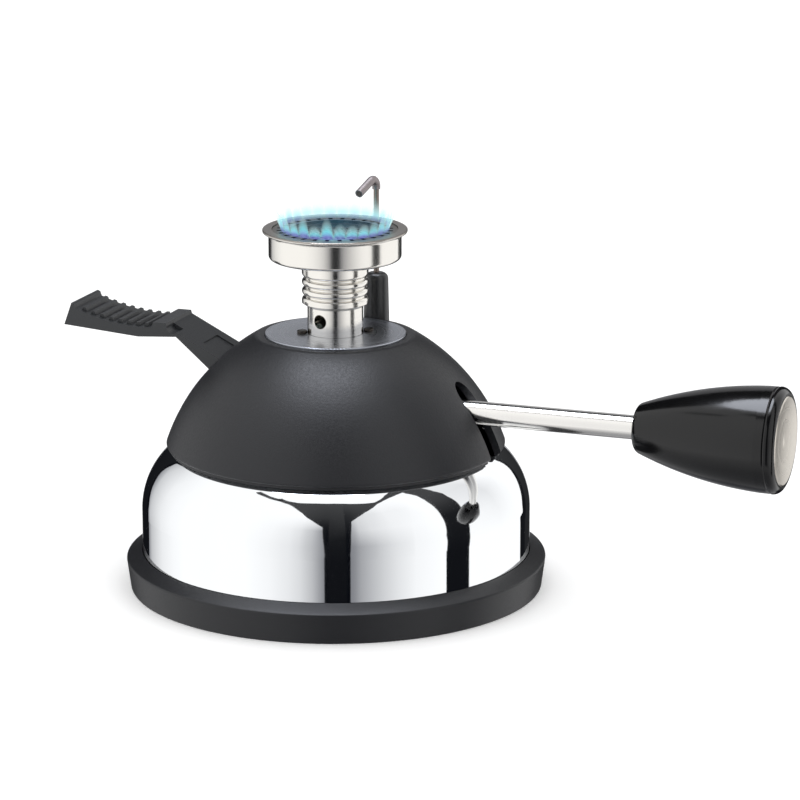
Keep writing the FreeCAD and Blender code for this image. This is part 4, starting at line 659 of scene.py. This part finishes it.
def cloth_card(name, colour):
    """Cloth stretched on a frame, which lets light through where it covers less."""
    material = bpy.data.materials.new(name)
    material.use_nodes = True
    tree = material.node_tree
    tree.nodes.remove(tree.nodes["Principled BSDF"])
    cover = add_node(tree, "ShaderNodeAttribute", attribute_name="cover")
    clear = add_node(tree, "ShaderNodeBsdfTransparent")
    cloth = add_node(tree, "ShaderNodeEmission", {"Color": (*colour, 1), "Strength": 1.0})
    mixed = add_node(tree, "ShaderNodeMixShader", {
        0: cover.outputs["Fac"], 1: clear.outputs[0], 2: cloth.outputs[0]})
    tree.links.new(mixed.outputs[0], tree.nodes["Material Output"].inputs["Surface"])
    return material


class BURNER_OT_make_studio(Operator):
    """Make the floor, the soft surroundings, the lights and the camera"""
    bl_idname = "burner.make_studio"
    bl_label = "Studio"

    def execute(self, context):
        _, _, studio = settings()
        scene = context.scene
        scene.view_settings.view_transform = "Standard"

        world = bpy.data.worlds.new("soft_surroundings")
        world.use_nodes = True
        background = world.node_tree.nodes["Background"]
        background.inputs["Color"].default_value = (*studio.floor, 1)
        background.inputs["Strength"].default_value = studio.sky_strength
        scene.world = world

        # Acrylic, opal and lit from below: an even pale ground that takes only a faint shadow.
        cloud_mm, floor_reach = 30, 3.0
        opal, tree, shader = new_material("acrylic_opal_lit", studio.floor, 0.9, ior=1.4, **{
            "Emission Color": (*studio.floor, 1), "Emission Strength": 0.16})
        clouds = add_node(tree, "ShaderNodeTexNoise", {
            "Vector": place(tree), "Scale": 1 / (cloud_mm * MM)})
        vary_colour(tree, shader, tuple(studio.floor), clouds.outputs["Fac"], 0.004)
        rows = [[(-floor_reach, y, 0), (floor_reach, y, 0)] for y in (-floor_reach, floor_reach)]
        floor = grid_mesh("floor", rows, False)
        floor.data.materials.append(opal)
        # Polished metal shows the painted floor shadow under the horizon in its place.
        floor.visible_glossy = False

        # Velvet, stretched: takes up nearly all light, so polished metal shows dark bands.
        velvet = cloth_card("velvet_black", linear("#090b10"))
        # Gauze, stretched: greys the light softly beside the velvet.
        gauze = cloth_card("gauze_blue_grey", linear("#141c34"))

        # The thin dark line round the front, which opens into a wedge over the middle band.
        below = ((-62, 62), (-50, 60.6), (-44, 59.9), (-33, 55.7), (-24.6, 50.5), (-15.5, 41.2),
                 (-8.3, 32.1), (11.7, 40.2), (16.7, 46), (23.1, 51.8), (30.7, 56.7), (42, 61.9),
                 (53, 64.2), (65, 65.7), (75.6, 66.3), (85.5, 66), (112, 70))
        above = ((-62, 65.3), (-50, 64), (-38.6, 64.6), (-20.6, 67), (-1.4, 68), (9.7, 67.6),
                 (31, 65.2), (41.6, 64.6), (53, 66.8), (68, 69.6), (85, 71), (112, 71.4))
        card("card_line", strip(below, above), velvet, VELVET_DISTANCE)
        # Its left end stands nearer, so that the rod doesn't show it.
        near_distance = 0.6
        below = ((-51.5, 60), (-60.3, 61.3), (-67.4, 62), (-74.4, 62.4), (-84, 62.3))
        above = ((-51.5, 62.7), (-57.8, 63.8), (-65.8, 64.8), (-73.5, 65.2), (-84, 64.9))
        card("card_line_end", strip(below, above), velvet, near_distance)
        card("card_middle", [
            veil((-5.9, -40), (-5.9, -17), (-6.8, 6.6), (-8.3, 32.1)),
            veil((9, -40), (9, -17), (10.1, 20.8), (11.7, 40.2))], velvet, VELVET_DISTANCE)
        # The right band, which bends over to the right at its top.
        card("card_right", [
            veil((67.8, -40), (67.8, -17), (66.6, 3), (68.2, 15), (70, 27), (72.5, 37),
                 (75.8, 47), (79.7, 54), (85.5, 66)),
            veil((84.6, -40), (84.6, -17), (84, 0), (85, 12), (87, 24), (90, 33),
                 (92.5, 43), (97, 53), (112, 70))], velvet, VELVET_DISTANCE)
        # The back, open in its middle so that what lies flat shows light.
        card("card_back_left", [
            veil(*[(-168, rise) for rise in (-40, -17, -8, 5, 21, 41, 58, 66)]),
            veil((-145, -40), (-145, -17), (-142, -8), (-145, 5), (-145, 21), (-130.5, 41),
                 (-118, 57), (-118, 66.9))], velvet, VELVET_DISTANCE)
        card("card_back_right", [
            veil((turn, -40), (turn, rise)) for turn, rise in (
                (137.5, -16.8), (142, -11), (144, -2), (146, 3), (148, 9), (150, 22), (151, 66),
                (168, 66))], velvet, VELVET_DISTANCE)
        card("card_back_top", [veil((turn, 38), (turn, 66)) for turn in (168, 192)],
             velvet, VELVET_DISTANCE)

        # Soft grey beside the bands: denser towards them, and gone higher up.
        def shade(turn, cover, middle_cover):
            return [(turn, -40, cover), (turn, 4, cover), (turn, 27, middle_cover),
                    (turn, 46, 0.0)]

        card("gauze_left", [
            shade(-53, 0.0, 0.0), shade(-38, 0.08, 0.05), shade(-27, 0.19, 0.14),
            shade(-20, 0.3, 0.24), shade(-13, 0.5, 0.46), shade(-9, 0.66, 0.66),
            shade(-4, 0.85, 0.85)], gauze, GAUZE_DISTANCE)
        card("gauze_right", [
            [(turn, -40, low), (turn, 4, low), (turn, 27, middle), (turn, 49, high),
             (turn, 66, 0.0)]
            for turn, low, middle, high in (
                (7, 0.84, 0.7, 0.5), (12, 0.74, 0.58, 0.4), (15, 0.64, 0.4, 0.3),
                (22, 0.5, 0.26, 0.25), (29, 0.37, 0.2, 0.2), (37, 0.23, 0.12, 0.12),
                (48, 0.08, 0.05, 0.1), (64, 0.01, 0.0, 0.0))], gauze, GAUZE_DISTANCE)
        card("gauze_back_left", [
            shade(-147, 0.9, 0.5), shade(-143, 0.68, 0.4), shade(-139, 0.47, 0.3),
            shade(-131, 0.32, 0.2), shade(-123, 0.17, 0.1), shade(-110, 0.05, 0.02),
            shade(-100, 0.0, 0.0)], gauze, GAUZE_DISTANCE)
        card("gauze_right_top", [
            [(80, -10, 0.0), (84, 20, 0.05), (88, 35, 0.14), (94, 48, 0.2), (102, 60, 0.2),
             (106, 72, 0.0)],
            [(112, -10, 0.0), (112, 12, 0.12), (115, 26, 0.22), (114, 42, 0.24), (114, 58, 0.15),
             (114, 72, 0.0)],
            [(132, -10, 0.0), (132, 12, 0.0), (132, 26, 0.0), (131, 42, 0.0), (130, 58, 0.0),
             (130, 72, 0.0)]], gauze, GAUZE_DISTANCE)
        card("gauze_back", [
            [(turn, -60, 0.7), (turn, -10, 0.6), (turn, 38, 0.6)] for turn in (166, 180, 194)],
            gauze, GAUZE_DISTANCE)
        # Under the horizon, in the floor's place: the burner's shadow on the floor, painted on a
        # gauze card that only reflections show, greyest straight below.
        card("painted_floor_shadow", [
            [(turn, -88, 0.76), (turn, -60, 0.62), (turn, -42, 0.36), (turn, -28, 0.0)]
            for turn in range(-180, 181, 30)], gauze, LOW_GAUZE_DISTANCE)

        # The softbox only gives sheens and reflections. The surroundings light the rest evenly.
        softbox_width, softbox_place = 1.68, (-0.28, 0.1, 2.5)
        lamp = bpy.data.objects.new("softbox_top", bpy.data.lights.new("softbox_top", "AREA"))
        lamp.data.shape = "DISK"
        lamp.data.size = softbox_width
        lamp.data.energy = studio.softbox_power
        lamp.data.color = linear("#eef3ff")
        lamp.location = softbox_place
        lamp.visible_diffuse = False
        scene.collection.objects.link(lamp)

        camera = bpy.data.objects.new("camera", bpy.data.cameras.new("camera"))
        scene.collection.objects.link(camera)
        turn, pitch = studio.camera_turn, studio.camera_pitch
        right = Vector((math.cos(turn), math.sin(turn), 0))
        ahead = Vector((-math.sin(turn) * math.cos(pitch), math.cos(turn) * math.cos(pitch),
                        -math.sin(pitch)))
        up = right.cross(ahead)
        middle = Vector((0, 0, 50 * MM))
        target = middle + right * studio.camera_right + up * studio.camera_up
        camera.location = target - ahead * studio.camera_distance
        camera.rotation_euler = ahead.to_track_quat("-Z", "Y").to_euler()
        camera.data.lens = studio.lens
        camera.data.sensor_width = 36
        camera.data.clip_start, camera.data.clip_end = 0.05, 20
        scene.camera = camera
        return {"FINISHED"}


class BURNER_PT_sidebar(Panel):
    """Buttons that make and finish the burner"""
    bl_label = "Table burner"
    bl_idname = "BURNER_PT_sidebar"
    bl_space_type = "VIEW_3D"
    bl_region_type = "UI"
    bl_category = "Burner"

    def draw(self, context):
        for operator in OPERATORS:
            self.layout.operator(operator.bl_idname)
        for group in settings():
            box = self.layout.box()
            for name in group.__annotations__:
                box.prop(group, name)


SETTINGS = (BurnerFinishSettings, BurnerFlameSettings, BurnerStudioSettings)
OPERATORS = (BURNER_OT_make_studio, BURNER_OT_finish_base, BURNER_OT_finish_housing,
             BURNER_OT_finish_dome, BURNER_OT_finish_head, BURNER_OT_finish_electrode,
             BURNER_OT_finish_lever, BURNER_OT_finish_control, BURNER_OT_finish_inside,
             BURNER_OT_make_flames)
CLASSES = (*SETTINGS, *OPERATORS, BURNER_PT_sidebar)


def register():
    for item in CLASSES:
        bpy.utils.register_class(item)
    bpy.types.Scene.burner_finish = PointerProperty(type=BurnerFinishSettings)
    bpy.types.Scene.burner_flame = PointerProperty(type=BurnerFlameSettings)
    bpy.types.Scene.burner_studio = PointerProperty(type=BurnerStudioSettings)


def unregister():
    del bpy.types.Scene.burner_finish
    del bpy.types.Scene.burner_flame
    del bpy.types.Scene.burner_studio
    for item in reversed(CLASSES):
        bpy.utils.unregister_class(item)


def main():
    register()
    for operator in OPERATORS:
        group, name = operator.bl_idname.split(".")
        getattr(getattr(bpy.ops, group), name)()


if __name__ == "__main__":
    main()
